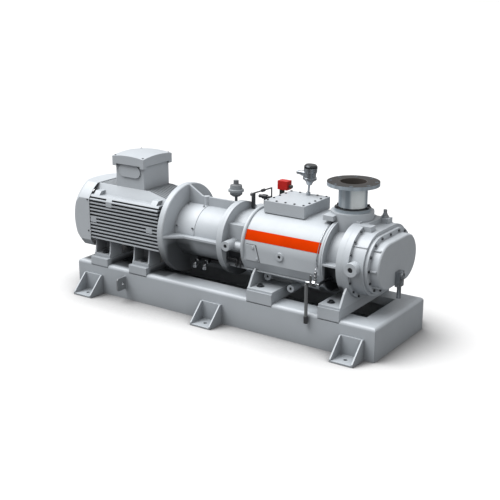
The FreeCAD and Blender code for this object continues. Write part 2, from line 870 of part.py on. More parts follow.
def make_beams():
    """Cross beams welded on the rails, machined on top; their bolt holes are tapped through."""
    motor_x = motor_bolt_place - motor_beam_width / 2
    beams = (
        ("motor_beam_fan_end", motor_x, motor_beam_width, motor_beam_height, motor_bolt_places()),
        ("motor_beam_drive_end", motor_x + motor_bolt_length, motor_beam_width, motor_beam_height,
         motor_bolt_places()),
        ("pump_beam_discharge", discharge_foot_start, discharge_foot_length, pump_beam_height,
         pump_bolt_places()),
        ("pump_beam_suction", suction_foot_start, suction_foot_length, pump_beam_height,
         pump_bolt_places()),
    )
    for label, start, width, height, bolts in beams:
        pieces = [box(start, frame_front, frame_height, width, frame_width, height)]
        for side in (-1, 1):
            pieces.append(edge_fill(start, width, side))
        holes = []
        for bolt_x, bolt_y in bolts:
            if start.number < bolt_x.number < (start + width).number:
                holes.append(cylinder("z", bolt_x, bolt_y, frame_height + height - bolt_depth,
                                      bolt_radius + fit_clearance, bolt_depth + 1))
        keep(cut(joined(pieces), holes), label)


def edge_fill(start, width, side):
    """The end plate of a beam, which squares the rounded edge of the rail below it."""
    low = frame_height - rail_bend
    front = frame_front if side < 0 else -frame_front - rail_bend
    bend = cylinder("x", start - 1, (frame_width / 2 - rail_bend) * side, low, rail_bend + seat_clearance,
                    width + 2)
    return cut(box(start, front, low, width, rail_bend, rail_bend), [bend])


def make_hold_down_bolts():
    """Hexagon bolts that hold the motor's and the pump's feet on the beams."""
    bolts = []
    for x, y in motor_bolt_places():
        bolts.append(bolt_down(x, y, beam_top + foot_pad_thickness))
    for x, y in pump_bolt_places():
        bolts.append(bolt_down(x, y, frame_height + pump_beam_height + pump_foot_plate))
    keep(together(bolts, "hold_down_bolts"), "hold_down_bolts")


def bolt_down(x, y, z):
    """One bolt that points down from its seat at height z."""
    washer = cylinder("z", x, y, z, bolt_washer, bolt_washer_sheet)
    head = hexagon("z", x, y, z + bolt_washer_sheet - 1, bolt_head, bolt_head_height)
    shank = cylinder("-z", x, y, z + 1, bolt_radius, foot_pad_thickness + bolt_depth / 2)
    return joined([washer, head, shank])


def make_motor_frame():
    """Cast frame: a bored core, level side fins, a sloping shoulder with top fins, and four feet."""
    start = motor_flange_face - motor_length
    length = motor_length - shield_thickness
    end = motor_flange_face - shield_thickness
    pieces = [cylinder("x", start, drive_y, axis_height, frame_core, length)]
    shelf_top = axis_height + motor_shelf
    pieces.append(box(start, drive_y - fin_envelope, shelf_top - shelf_sheet, length, fin_envelope * 2,
                      shelf_sheet))
    for row in range(1, side_fin_rows + 1):
        z = shelf_top - fin_pitch * row - fin_thickness
        pieces.append(box(start, drive_y - fin_envelope, z, length, fin_envelope * 2, fin_thickness))
    pieces.append(plate("YZ_Plane", start, drive_y, axis_height, [
        (-shoulder_half, motor_shelf - shelf_sheet / 2), (-box_width / 2, fin_envelope),
        (box_width / 2, fin_envelope), (shoulder_half, motor_shelf - shelf_sheet / 2),
    ], length))
    for x, top, height in fin_lugs:
        pieces.append(box(x, drive_y - fin_envelope, axis_height + top - height, fin_lug, fin_envelope * 2,
                          height))
    for x in (start + cowl_overlap + fin_lug / 2, end - fin_lug * 1.5):
        pieces.append(box(x, drive_y - shelf_lug_reach, shelf_top, fin_lug, shelf_lug_reach * 2,
                          shelf_lug_height))
    envelope = cylinder("x", start, drive_y, axis_height, frame_corner, length)
    floor = box(start, drive_y - fin_envelope, axis_height - frame_floor, length, fin_envelope * 2,
                frame_floor + fin_envelope)
    finned = common(joined(pieces), common(envelope, floor))
    grooves = []
    for row in range(top_grooves):
        y = drive_y + top_fin_pitch * (row - (top_grooves - 1) / 2) - top_groove / 2
        grooves.append(box(start - 1, y, axis_height + fin_envelope - top_groove_depth, length + 2,
                           top_groove, top_groove_depth + 1))
    grooves.append(plate("XZ_Plane", 0, drive_y + fin_envelope, axis_height, [
        (slant_start, fin_envelope), (end + 1, slant_height), (end + 1, fin_envelope * 1.2),
        (slant_start, fin_envelope * 1.2),
    ], fin_envelope * 2))
    feet = []
    foot_z = axis_height - shaft_height
    web_height = shaft_height - motor_foot_drop
    for x, y in motor_bolt_places():
        side = 1 if y.number > drive_y.number else -1
        inner = drive_y + motor_foot_inner * side
        outer = y + foot_edge * side
        low = inner if side > 0 else outer
        width = (outer - inner) * side
        feet.append(box(x - motor_foot_length / 2, low, foot_z, motor_foot_length, width,
                        foot_pad_thickness))
        for web_x in (x - motor_foot_length / 2, x + motor_foot_length / 2 - foot_web):
            feet.append(plate("YZ_Plane", web_x, 0, foot_z, [
                (inner, 0), (outer, 0), (outer - foot_web * side, foot_pad_thickness * 2),
                (outer - foot_web * 2 * side, web_height), (inner, web_height),
            ], foot_web))
        feet.append(box(x - motor_foot_length / 2, inner - foot_web / 2, foot_z, motor_foot_length,
                        foot_web, web_height))
    solid = joined([cut(finned, grooves)] + feet)
    tools = [cylinder("x", start - 1, drive_y, axis_height, frame_bore, motor_length + 2)]
    for x, y in motor_bolt_places():
        tools.append(cylinder("z", x, y, foot_z - 1, bolt_radius + 1, foot_pad_thickness + 2))
        tools.append(cylinder("z", x, y, foot_z + foot_pad_thickness, spot_face, web_height))
    tools.append(box(box_place - box_length / 2, drive_y - box_width / 2, axis_height + box_seat,
                     box_length, box_width, fin_envelope))
    keep(cut(solid, tools), "motor_frame")


def make_motor_shields():
    """End shields that close the frame and carry the shaft's bearings."""
    start = motor_flange_face - motor_length
    drive = turned(motor_flange_face, drive_y, axis_height, [
        (0, shaft_seat + 1), (0, motor_flange_radius), (-shield_flange, motor_flange_radius),
        (-shield_flange, frame_core), (-shield_thickness, frame_core),
        (-shield_thickness, frame_bore - fit_clearance),
        (-shield_thickness - spigot, frame_bore - fit_clearance),
        (-shield_thickness - spigot, motor_bearing_radius + fit_clearance),
        (-shield_thickness, motor_bearing_radius + fit_clearance), (-shield_thickness, shaft_seat + 1),
    ])
    keep(drive, "motor_drive_shield")
    fan = turned(start, drive_y, axis_height, [
        (0, shaft_seat + 1), (0, motor_bearing_radius + fit_clearance),
        (spigot, motor_bearing_radius + fit_clearance), (spigot, frame_bore - fit_clearance),
        (0, frame_bore - fit_clearance), (0, frame_floor - cowl_wall),
        (-cowl_seat, frame_floor - cowl_wall), (-cowl_seat, shaft_seat + 1),
    ])
    keep(fan, "motor_fan_shield")


def cowl_cup(x, length, radius):
    """A round cup that opens towards the motor, with a rounded rear edge."""
    return turned(x, drive_y, axis_height, [
        (0, 0), (0, radius), (-length + cowl_bend_start, radius),
        (-length + cowl_bend_place, radius - cowl_bend_drop),
        (-length + cowl_rim_place, radius - cowl_rim_drop), (-length, radius - cowl_back_drop),
        (-length, 0),
    ])


def make_fan_cowl():
    """Pressed cowl over the fan: squarish with round corners, a flat underside and a slotted back."""
    cup_end = motor_flange_face - motor_length + cowl_overlap
    inner = fin_envelope + running_gap
    outer = inner + cowl_wall
    flat = frame_floor + running_gap
    corner = frame_corner + running_gap
    outside = common(
        cowl_cup(cup_end, cowl_length, corner + cowl_wall),
        box(cup_end - cowl_length, drive_y - outer, axis_height - flat - cowl_wall, cowl_length, outer * 2,
            flat + cowl_wall + outer))
    inside = common(
        cowl_cup(cup_end + 1, cowl_length - cowl_wall + 1, corner),
        box(cup_end - cowl_length, drive_y - inner, axis_height - flat, cowl_length + 2, inner * 2,
            flat + inner))
    slots = []
    for row in range(cowl_slots):
        z = cowl_slot_pitch * (row - (cowl_slots - 1) / 2)
        half = cowl_grille_radius.number ** 2 - z.number ** 2
        reach = math.sqrt(half) / cowl_grille_radius.number
        for low in (-cowl_grille_radius * reach, cowl_slot_pitch / 2):
            slots.append(box(cup_end - cowl_length - 1, drive_y + low,
                             axis_height + z - cowl_slot_pitch / 4, cowl_wall + 2,
                             cowl_grille_radius * reach - cowl_slot_pitch / 2, cowl_slot_pitch / 2))
    keep(cut(outside, [inside] + slots), "fan_cowl")


def make_motor_fan():
    """Radial fan with straight blades on the shaft's rear end."""
    x = motor_flange_face - motor_length - fan_place
    disc = turned(x, drive_y, axis_height, [
        (0, fan_shaft + fit_clearance), (0, fan_radius), (fan_disc, fan_radius), (fan_disc, fan_shaft * 2),
        (fan_width, fan_hub), (fan_width, fan_shaft + fit_clearance),
    ])
    pieces = [disc]
    for index in range(fan_blades):
        blade = box(0, 0, 0, fan_blade_width, fan_radius - fan_blade_start, fan_blade_sheet)
        angle = 360 / fan_blades * index
        turn = FreeCAD.Rotation(Vector(1, 0, 0), angle)
        blade.Placement = FreeCAD.Placement(Vector(0, 0, 0), turn)
        bind_place(blade, x, drive_y + fan_blade_start * math.cos(math.radians(angle)),
                   axis_height + fan_blade_start * math.sin(math.radians(angle)))
        pieces.append(blade)
    keep(joined(pieces), "motor_fan")


def make_terminal_box():
    """Cast box on the motor with a cable plate on its front, and an arched lid with corner lugs."""
    low = axis_height + box_seat
    high = axis_height + lid_top - lid_height
    x = box_place
    shell = box(x - box_length / 2, drive_y - box_width / 2, low, box_length, box_width, high - low)
    hollow = box(x - box_length / 2 + box_wall, drive_y - box_width / 2 + box_wall, low + box_wall,
                 box_length - box_wall * 2, box_width - box_wall * 2, high - low)
    keep(cut(shell, [hollow]), "terminal_box")
    slab = box(x - lid_length / 2, drive_y - lid_width / 2, high, lid_length, lid_width, lid_height)
    arch = document.addObject("Part::Sphere", "Arch")
    arch.setExpression("Radius", lid_arch.formula)
    bind_place(arch, x, drive_y, axis_height + lid_top - lid_arch)
    pieces = [common(slab, arch)]
    for side_x in (-1, 1):
        for side_y in (-1, 1):
            corner_x = x + (lid_length / 2 - lid_lug / 2) * side_x - lid_lug / 2
            corner_y = drive_y + (lid_width / 2 - lid_lug / 2) * side_y - lid_lug / 2
            pieces.append(box(corner_x, corner_y, high - lid_lug_drop, lid_lug, lid_lug, lid_lug_drop * 2))
    clear = box(x - box_length / 2 - running_gap, drive_y - box_width / 2 - running_gap, high - lid_height,
                box_length + running_gap * 2, box_width + running_gap * 2, lid_height)
    keep(cut(joined(pieces), [clear]), "terminal_box_lid")
    face = drive_y - box_width / 2
    entry = racetrack(0, 0, 0, entry_length / 2 - entry_height / 2, entry_height / 2, entry_thickness)
    entry.Placement = FreeCAD.Placement(Vector(0, 0, 0), FreeCAD.Rotation(Vector(0, 0, 1), -90))
    bind_place(entry, x, face, high - entry_drop)
    keep(entry, "cable_entry_plate")


def make_motor_inside():
    """Stator, rotor, shaft and bearings of the motor."""
    middle = motor_flange_face - motor_length / 2
    keep(turned(middle, drive_y, axis_height, [
        (-stack_length / 2, stator_bore), (-stack_length / 2 - winding, stator_bore + 12),
        (-stack_length / 2 - winding, frame_bore - 20), (-stack_length / 2, frame_bore - fit_clearance),
        (stack_length / 2, frame_bore - fit_clearance), (stack_length / 2 + winding, frame_bore - 20),
        (stack_length / 2 + winding, stator_bore + 12), (stack_length / 2, stator_bore),
    ]), "motor_stator")
    keep(turned(middle, drive_y, axis_height, [
        (-stack_length / 2, shaft_body + fit_clearance), (-stack_length / 2, stator_bore - air_gap),
        (stack_length / 2, stator_bore - air_gap), (stack_length / 2, shaft_body + fit_clearance),
    ]), "motor_rotor")
    start = -motor_length
    bearing_end = -shield_thickness - spigot
    keep(turned(motor_flange_face, drive_y, axis_height, [
        (shaft_reach, 0), (shaft_reach, shaft_radius), (0, shaft_radius), (0, shaft_seat),
        (bearing_end, shaft_seat), (bearing_end, shaft_body), (start + spigot, shaft_body),
        (start + spigot, shaft_seat), (start - cowl_seat, shaft_seat), (start - cowl_seat, fan_shaft),
        (start - fan_place - fan_shaft_tip, fan_shaft), (start - fan_place - fan_shaft_tip, 0),
    ]), "motor_shaft")
    bearings = []
    for x in (-shield_thickness - spigot, start):
        bearings.append(turned(motor_flange_face + x, drive_y, axis_height, [
            (0, shaft_seat + fit_clearance), (0, motor_bearing_radius), (spigot, motor_bearing_radius),
            (spigot, shaft_seat + fit_clearance),
        ]))
    keep(together(bearings, "motor_bearings"), "motor_bearings")


def make_lantern():
    """Cast lantern: motor disc, tube, joint flange, four radial ribs and two coupling windows."""
    length = joint_face - motor_flange_face
    flange_start = length - joint_flange
    bore = tube_radius - tube_wall
    shell = turned(motor_flange_face, drive_y, axis_height, [
        (0, bore), (0, disc_radius), (disc_thickness - disc_bevel, disc_radius),
        (disc_thickness, disc_radius - disc_bevel), (disc_thickness, tube_radius),
        (flange_start, tube_radius), (flange_start, joint_flange_radius), (length, joint_flange_radius),
        (length, bore),
    ])
    pieces = [shell]
    root = tube_radius - tube_wall / 2
    for quarter in range(4):
        reach = top_rib_reach if quarter == 0 else side_rib_reach
        rib = new_body("Rib", 0, 0, 0)
        sketch = new_sketch(rib, "XZ_Plane")
        draw_polygon(sketch, [
            (disc_thickness / 2, root), (disc_thickness / 2, disc_radius - disc_bevel),
            (disc_thickness, disc_radius - disc_bevel), (rib_kink, reach),
            (flange_start + joint_flange / 2, reach), (flange_start + joint_flange / 2, root),
        ])
        pad = add_pad(rib, sketch, lantern_rib)
        pad.Midplane = True
        rib.Placement = FreeCAD.Placement(Vector(0, 0, 0), FreeCAD.Rotation(Vector(1, 0, 0), 90 * quarter))
        bind_place(rib, motor_flange_face, drive_y, axis_height)
        pieces.append(rib)
    pieces.append(cylinder("z", motor_flange_face + eye_place, drive_y, axis_height + root, eye_radius,
                           top_rib_reach - root + eye_height))
    windows = []
    for side in (-1, 1):
        low = drive_y + window_edge if side > 0 else drive_y - tube_radius - window_edge
        windows.append(box(window_start, low, axis_height + window_edge, window_length, tube_radius,
                           tube_radius))
    keep(cut(joined(pieces), windows), "lantern")


def make_coupling_guards():
    """Two curved sheets that close the lantern's windows, each with four corner screws."""
    start = window_start - guard_margin
    length = window_length + guard_margin * 2
    ring = turned(start, drive_y, axis_height, [
        (0, tube_radius), (0, tube_radius + guard_sheet), (length, tube_radius + guard_sheet),
        (length, tube_radius),
    ])
    edge = lantern_rib / 2 + guard_rib_gap
    eye = cylinder("z", motor_flange_face + eye_place, drive_y, axis_height, eye_radius + guard_rib_gap,
                   tube_radius * 2)
    pieces = []
    for side in (-1, 1):
        low = drive_y + edge if side > 0 else drive_y - tube_radius * 2 - edge
        quadrant = box(start - 1, low, axis_height + edge, length + 2, tube_radius * 2, tube_radius * 2)
        pieces.append(cut(common(ring, quadrant), [eye]))
    for x in (start + guard_screw_edge, start + length - guard_screw_edge):
        for turn in guard_screw_turns:
            screw = cylinder("z", x, drive_y, axis_height, guard_screw, guard_screw)
            screw.Placement = FreeCAD.Placement(Vector(0, 0, 0), FreeCAD.Rotation(Vector(1, 0, 0), turn))
            reach = tube_radius + guard_sheet
            angle = math.radians(turn)
            bind_place(screw, x, drive_y - reach * math.sin(angle), axis_height + reach * math.cos(angle))
            pieces.append(screw)
    keep(together(pieces, "coupling_guards"), "coupling_guards")


def make_flange_bolts():
    """Bolts that hold the motor's flange on the lantern, their heads behind the flange."""
    x = motor_flange_face - shield_flange
    bolts = []
    for index in range(motor_flange_bolts):
        angle = math.radians(360 / motor_flange_bolts * (index + 0.5))
        bolts.append(hexagon("-x", x, drive_y + flange_bolt_circle * math.cos(angle),
                             axis_height + flange_bolt_circle * math.sin(angle),
                             bolt_head, bolt_head_height))
    keep(together(bolts, "motor_flange_bolts"), "motor_flange_bolts")


def make_coupling():
    """Two jaw hubs with a rubber spider between them."""
    start = motor_flange_face + hub_gap
    keep(turned(start, drive_y, axis_height, [
        (0, shaft_radius + fit_clearance), (0, hub_neck), (hub_length / 2, hub_neck),
        (hub_length / 2, hub_radius), (hub_length, hub_radius), (hub_length, shaft_radius + fit_clearance),
    ]), "motor_coupling_hub")
    pump_hub = start + hub_length + spider_thickness
    keep(turned(pump_hub, drive_y, axis_height, [
        (0, rotor_shaft + fit_clearance), (0, hub_radius), (hub_length / 2, hub_radius),
        (hub_length / 2, hub_neck), (hub_length, hub_neck), (hub_length, rotor_shaft + fit_clearance),
    ]), "pump_coupling_hub")
    keep(turned(start + hub_length, drive_y, axis_height, [
        (0, spider_bore), (0, hub_radius - spider_inset), (spider_thickness, hub_radius - spider_inset),
        (spider_thickness, spider_bore),
    ]), "coupling_spider")


def rotor_bores(start, end, radius):
    """Two side-by-side bores about the rotor axes."""
    bores = []
    for y in (drive_y, driven_y):
        bores.append(cylinder("x", start, y, axis_height, radius, end - start))
    return bores


def front_boss(x, z, radius, reach):
    """A round boss that faces the front, at the rings' widest place."""
    return cylinder("-y", x, pump_y - housing_spread / 2 - housing_radius + boss_depth, z, radius,
                    boss_depth + reach)


def boss_hole(x, z, bore, reach):
    """The blind hole of a front boss."""
    return cylinder("-y", x, pump_y - housing_spread / 2 - housing_radius, z, bore, reach * 2)


def make_discharge_housing():
    """Housing between the lantern and the screws: joint flange, block, arm, boss, bores and outlet."""
    length = screw_start - joint_face
    flange = cylinder("x", joint_face, drive_y, axis_height, joint_flange_radius, joint_flange)
    body = racetrack(joint_face, pump_y, axis_height, housing_spread / 2, discharge_radius, length)
    block = box(joint_face, pump_y - block_half, axis_height - belly_drop, length, block_half * 2,
                belly_drop + shelf_height)
    lip_x = joint_face + joint_flange + lip_start
    lip = box(lip_x, pump_y - lip_half, axis_height - belly_drop - lip_sheet, screw_start - lip_x,
              lip_half * 2, lip_sheet)
    arm_front = pump_y - housing_spread / 2 - housing_radius + shelf_inset
    arm = cylinder("x", joint_face, arm_front + arm_radius, axis_height, arm_radius, length)
    boss_x = joint_face + joint_flange + boss_shift
    boss_z = axis_height + boss_rise
    outlet_y = pump_y + housing_spread / 2
    outlet_x = joint_face + length / 2
    outlet = cylinder("y", outlet_x, outlet_y, axis_height - outlet_drop, outlet_radius + outlet_wall,
                      housing_radius + outlet_reach)
    pieces = [flange, body, block, lip, arm, front_boss(boss_x, boss_z, boss_radius, boss_reach), outlet]
    tools = [boss_hole(boss_x, boss_z, boss_bore, boss_reach)]
    tools.append(cylinder("y", outlet_x, outlet_y + outlet_seat, axis_height - outlet_drop,
                          outlet_radius, housing_radius))
    tools.append(cylinder("x", joint_face - 1, drive_y, axis_height, rotor_shaft + fit_clearance,
                          length + 2))
    tools.append(cylinder("x", bearing_start, driven_y, axis_height, rotor_shaft + fit_clearance,
                          screw_start - bearing_start + 1))
    tools += rotor_bores(bearing_start, bearing_start + bearing_width, bearing_radius + fit_clearance)
    keep(cut(joined(pieces), tools), "discharge_housing")


def housing_shape(start, length, grow):
    """The screw housing's round body, flat-sided belly and bottom lip, each grown by a clearance."""
    round_body = racetrack(start, pump_y, axis_height, housing_spread / 2, body_radius + grow, length)
    front = -housing_spread / 2 - body_radius - grow
    low = -belly_drop - grow
    belly = plate("YZ_Plane", start, pump_y, axis_height, [
        (front, 0), (front, -belly_height), (front + belly_slope, low), (-front - belly_slope, low),
        (-front, -belly_height), (-front, 0),
    ], length)
    lip = box(start, pump_y - lip_half - grow, axis_height + low - lip_sheet, length,
              (lip_half + grow) * 2, lip_sheet + grow * 2)
    return [round_body, belly, lip]


def housing_start(grow):
    """The outer shape of the screw housing's first stretch with its ring, grown by a clearance."""
    ring = racetrack(screw_start - 1, pump_y, axis_height, housing_spread / 2, housing_radius + grow,
                     first_ring + 1)
    return housing_shape(screw_start - 1, jacket_start - screw_start, grow) + [ring]


def make_screw_housing():
    """Long housing round the screws: end rings, round body, flat-sided belly and lower cover."""
    length = screw_end - screw_start
    ring = racetrack(screw_start, pump_y, axis_height, housing_spread / 2, housing_radius, first_ring)
    far = first_ring.number
    round_edges(ring, ring_round, lambda edge: abs(edge.CenterOfMass.x - far) < 0.1)
    end_ring = racetrack(screw_end - end_ring_thickness, pump_y, axis_height, housing_spread / 2,
                         housing_radius, end_ring_thickness)
    front = housing_spread / 2 + body_radius
    lower = box(lower_cover_start, pump_y - lower_cover_width / 2, axis_height - housing_radius,
                lower_cover_length, lower_cover_width, housing_radius)
    pieces = [ring, end_ring, lower] + housing_shape(screw_start, length, 0)
    pieces.append(cylinder("-y", plug_place, pump_y - front + plug_root, axis_height - plug_drop,
                           plug_radius, plug_root + plug_reach))
    for x, z in ((low_port_first, low_port_height), (low_port_second, low_port_height - low_port_step)):
        pieces.append(cylinder("-y", x, pump_y, z, low_port_radius, low_port_reach))
    flat = box(jacket_start, pump_y - jacket_width / 2, axis_height + jacket_seat, jacket_length,
               jacket_width, body_radius)
    tools = rotor_bores(screw_start - 1, screw_end + 1, screw_radius + rotor_clearance) + [flat]
    tools.append(cylinder("-y", plug_place, pump_y - front + plug_root, axis_height - plug_drop, plug_hole,
                          plug_root + plug_reach + 1))
    for x, z in ((low_port_first, low_port_height), (low_port_second, low_port_height - low_port_step)):
        tools.append(cylinder("-y", x, pump_y - low_port_reach + low_port_radius, z, low_port_hole,
                              low_port_radius + 1))
    tools.append(cylinder("z", inlet_x, pump_y, axis_height, inlet_throat, inlet_pad_height))
    keep(cut(joined(pieces), tools), "screw_housing")


def make_jacket_cover():
    """Deep cover plate of the cooling jacket, with a bolt row round its edge."""
    cover = box(jacket_start, pump_y - jacket_width / 2, axis_height + jacket_seat, jacket_length,
                jacket_width, jacket_height)
    keep(cover, "jacket_cover")
    top = axis_height + jacket_seat + jacket_height
    bolts = []
    spans_x = jacket_bolts_long
    for row in range(spans_x):
        x = jacket_start + jacket_edge + (jacket_length - jacket_edge * 2) / (spans_x - 1) * row
        for side in (-1, 1):
            y = pump_y + (jacket_width / 2 - jacket_edge) * side
            bolts.append(hexagon("z", x, y, top, jacket_bolt, jacket_bolt_height))
    for row in range(1, jacket_bolts_wide - 1):
        y = pump_y - jacket_width / 2 + jacket_edge
        y = y + (jacket_width - jacket_edge * 2) / (jacket_bolts_wide - 1) * row
        for x in (jacket_start + jacket_edge, jacket_start + jacket_length - jacket_edge):
            bolts.append(hexagon("z", x, y, top, jacket_bolt, jacket_bolt_height))
    pump_bolts.extend(bolts)


def make_side_cover():
    """Small cleaning cover with a slanted edge and two screws, on the front of the screw housing."""
    face = pump_y - housing_spread / 2 - body_radius
    cover = plate("XZ_Plane", side_cover_start, face, axis_height, [
        (0, side_cover_low), (side_cover_length, side_cover_low),
        (side_cover_length - side_cover_taper, side_cover_top), (0, side_cover_top),
    ], side_cover_sheet)
    pieces = [cover]
    inset = side_cover_screw * 2
    right = side_cover_start + side_cover_length
    for x, z in ((right - side_cover_taper - inset, side_cover_top - inset),
                 (right - inset, side_cover_low + inset)):
        pieces.append(cylinder("-y", x, face, axis_height + z, side_cover_screw, side_cover_sheet * 2))
    keep(joined(pieces), "side_cover")


def make_label_strip():
    """Bare label strip that follows the round front of the screw housing."""
    angle = label_angle
    ring = racetrack(label_start, pump_y, axis_height, housing_spread / 2, body_radius + label_sheet,
                     label_length)
    inner = racetrack(label_start - 1, pump_y, axis_height, housing_spread / 2, body_radius,
                      label_length + 2)
    y = pump_y - housing_spread / 2
    first = math.radians(angle.number - label_span.number / 2)
    last = math.radians(angle.number + label_span.number / 2)
    reach = (body_radius + label_sheet) * 1.4
    sector = plate("YZ_Plane", label_start - 2, y, axis_height, [
        (0, 0), (-reach * math.cos(first), reach * math.sin(first)),
        (-reach * math.cos(last), reach * math.sin(last)),
    ], label_length + 4)
    keep(common(cut(ring, [inner]), sector), "label_strip")


def make_suction_housing():
    """Short neck with the inlet pad on top and the mating ring for the gear housing."""
    neck = racetrack(screw_end, pump_y, axis_height, housing_spread / 2, neck_radius,
                     suction_face - screw_end)
    start_ring = racetrack(screw_end, pump_y, axis_height, housing_spread / 2, housing_radius - 2,
                           end_ring_thickness)
    ring = racetrack(suction_face - ring_thickness, pump_y, axis_height, housing_spread / 2,
                     housing_radius, ring_thickness)
    pieces = [neck, start_ring, ring]
    rib_front = pump_y - housing_spread / 2 - housing_radius + shelf_inset
    pieces.append(box(screw_end, rib_front, axis_height - neck_rib / 2, suction_face - screw_end,
                      (pump_y - rib_front) * 2, neck_rib))
    bridge_height = inlet_pad_height - pad_step
    seat = axis_height + housing_radius + 1
    pad = joined([
        cylinder("z", inlet_x, pump_y, axis_height, inlet_pad / 2, inlet_pad_height),
        box(inlet_x, pump_y - pad_bridge / 2, axis_height, suction_face - inlet_x, pad_bridge,
            bridge_height),
        box(pad_lug_start, pad_lug_front, seat, pad_lug_length, pad_lug_width, pad_lug_height),
    ])
    notches = []
    sides = ((inlet_x - inlet_pad, screw_end - inlet_x + inlet_pad), (suction_face, inlet_pad))
    for start, length in sides:
        notches.append(box(start, pump_y - inlet_pad, axis_height - 1, length, inlet_pad * 2,
                           housing_radius + 2))
    pieces.append(cut(pad, notches))
    tools = rotor_bores(screw_end - 1, suction_face - suction_wall, screw_radius + rotor_clearance)
    tools += rotor_bores(suction_face - suction_wall - 1, suction_face + 1, rotor_shaft + fit_clearance)
    tools.append(cylinder("z", inlet_x, pump_y, axis_height, inlet_throat, inlet_pad_height + 1))
    keep(cut(joined(pieces), tools), "suction_housing")


def make_inlet_stub():
    """Flanged inlet stub, open from top to bottom, bolted on the inlet pad."""
    top = inlet_top
    foot = axis_height + inlet_pad_height
    stub = turned(inlet_x, pump_y, foot, [
        (0, inlet_bore), (0, inlet_foot_radius), (inlet_foot, inlet_foot_radius), (inlet_foot, inlet_tube),
        (top - foot - inlet_flange, inlet_tube), (top - foot - inlet_flange, inlet_flange_radius),
        (top - foot, inlet_flange_radius), (top - foot, inlet_bore),
    ], axis="Z_Axis")
    holes = []
    for index in range(8):
        angle = math.radians(45 * (index + 0.5))
        holes.append(cylinder("z", inlet_x + inlet_bolt_circle * math.cos(angle),
                              pump_y + inlet_bolt_circle * math.sin(angle), top - inlet_flange - 1,
                              inlet_bolt_hole, inlet_flange + 2))
    keep(cut(stub, holes), "inlet_stub")
    bolts = []
    for index in range(8):
        angle = math.radians(45 * index)
        reach = (inlet_tube + inlet_foot_radius) / 2 + 1
        bolts.append(hexagon("z", inlet_x + reach * math.cos(angle), pump_y + reach * math.sin(angle),
                             foot + inlet_foot, bolt_radius, bolt_radius))
    pump_bolts.extend(bolts)


def make_gear_housing():
    """Housing of the timing gears: ring, stepped body, cover flange, front boss and top lugs."""
    ring = racetrack(suction_face, pump_y, axis_height, housing_spread / 2, housing_radius, ring_thickness)
    body = racetrack(suction_face, pump_y, axis_height, gear_spread / 2, gear_body_radius,
                     cover_face - suction_face)
    flange = racetrack(cover_face - cover_flange, pump_y, axis_height, rotor_distance / 2,
                       cover_flange_radius, cover_flange)
    boss_x = suction_face + ring_thickness + gear_boss_shift
    boss_z = axis_height + boss_rise
    pieces = [ring, body, flange, front_boss(boss_x, boss_z, gear_boss_radius, gear_boss_reach)]
    rib_angle = math.radians(gear_rib_angle.number)
    rib_reach = gear_spread / 2 + gear_body_radius * math.cos(rib_angle)
    rib_height = axis_height + gear_body_radius * math.sin(rib_angle)
    for side in (-1, 1):
        pieces.append(cylinder("x", suction_face, pump_y + rib_reach * side, rib_height, gear_rib,
                               cover_face - suction_face))
    for y in (drive_y, driven_y):
        pieces.append(box(suction_face + ring_thickness / 2, y - gear_lug / 2, axis_height,
                          gear_lug_length, gear_lug, housing_radius))
    cavity = racetrack(suction_face + gear_wall, pump_y, axis_height, rotor_distance / 2, gear_cavity,
                       cover_face - suction_face)
    tools = [cavity, boss_hole(boss_x, boss_z, gear_boss_bore, gear_boss_reach)]
    tools += rotor_bores(suction_face - 1, suction_face + gear_wall + 1, bearing_radius + fit_clearance)
    keep(cut(joined(pieces), tools), "gear_housing")
    for turn in ring_bolt_turns:
        angle = math.radians(turn)
        reach = housing_spread / 2 + ring_bolt_circle * math.cos(angle)
        height = axis_height + ring_bolt_circle * math.sin(angle)
        for side in (-1, 1):
            pump_bolts.append(hexagon("x", suction_face + ring_thickness, pump_y + reach * side, height,
                                      ring_bolt, ring_bolt))


def make_gear_cover():
    """Racetrack cover with a bolt flange, a round-edged bulge and short ribs on its sides."""
    flange = racetrack(cover_face, pump_y, axis_height, rotor_distance / 2, cover_flange_radius,
                       cover_flange)
    bulge = racetrack(cover_face, pump_y, axis_height, rotor_distance / 2, cover_radius,
                      cover_end - cover_face)
    far = (cover_end - cover_face).number
    round_edges(bulge, cover_round, lambda edge: abs(edge.CenterOfMass.x - far) < 0.1)
    pieces = [flange, bulge]
    front = pump_y - rotor_distance / 2 - cover_radius
    for z, rib_front in ((cover_rib_place, front + cover_rib_inset), (term(0), front - cover_rib_reach),
                         (-cover_rib_place, front + cover_rib_inset)):
        pieces.append(box(cover_face, rib_front, axis_height + z - cover_rib / 2,
                          cover_end - cover_face - cover_round, (pump_y - rib_front) * 2, cover_rib))
    hollow = racetrack(cover_face - 1, pump_y, axis_height, rotor_distance / 2, cover_radius - cover_wall,
                       cover_end - cover_face - cover_wall + 1)
    keep(cut(joined(pieces), [hollow]), "gear_cover")
    reach = (cover_radius + cover_flange_radius) / 2
    bolts = []
    for index in range(cover_bolts_round):
        angle = math.radians(90 + 180 / (cover_bolts_round - 1) * index)
        for side in (1, -1):
            y = pump_y - rotor_distance / 2 * side + reach * math.cos(angle) * side
            bolts.append(hexagon("x", cover_face + cover_flange, y, axis_height + reach * math.sin(angle),
                                 cover_bolt, cover_bolt_height))
    for side in (1, -1):
        bolts.append(hexagon("x", cover_face + cover_flange, pump_y, axis_height + reach * side,
                             cover_bolt, cover_bolt_height))
    pump_bolts.extend(bolts)


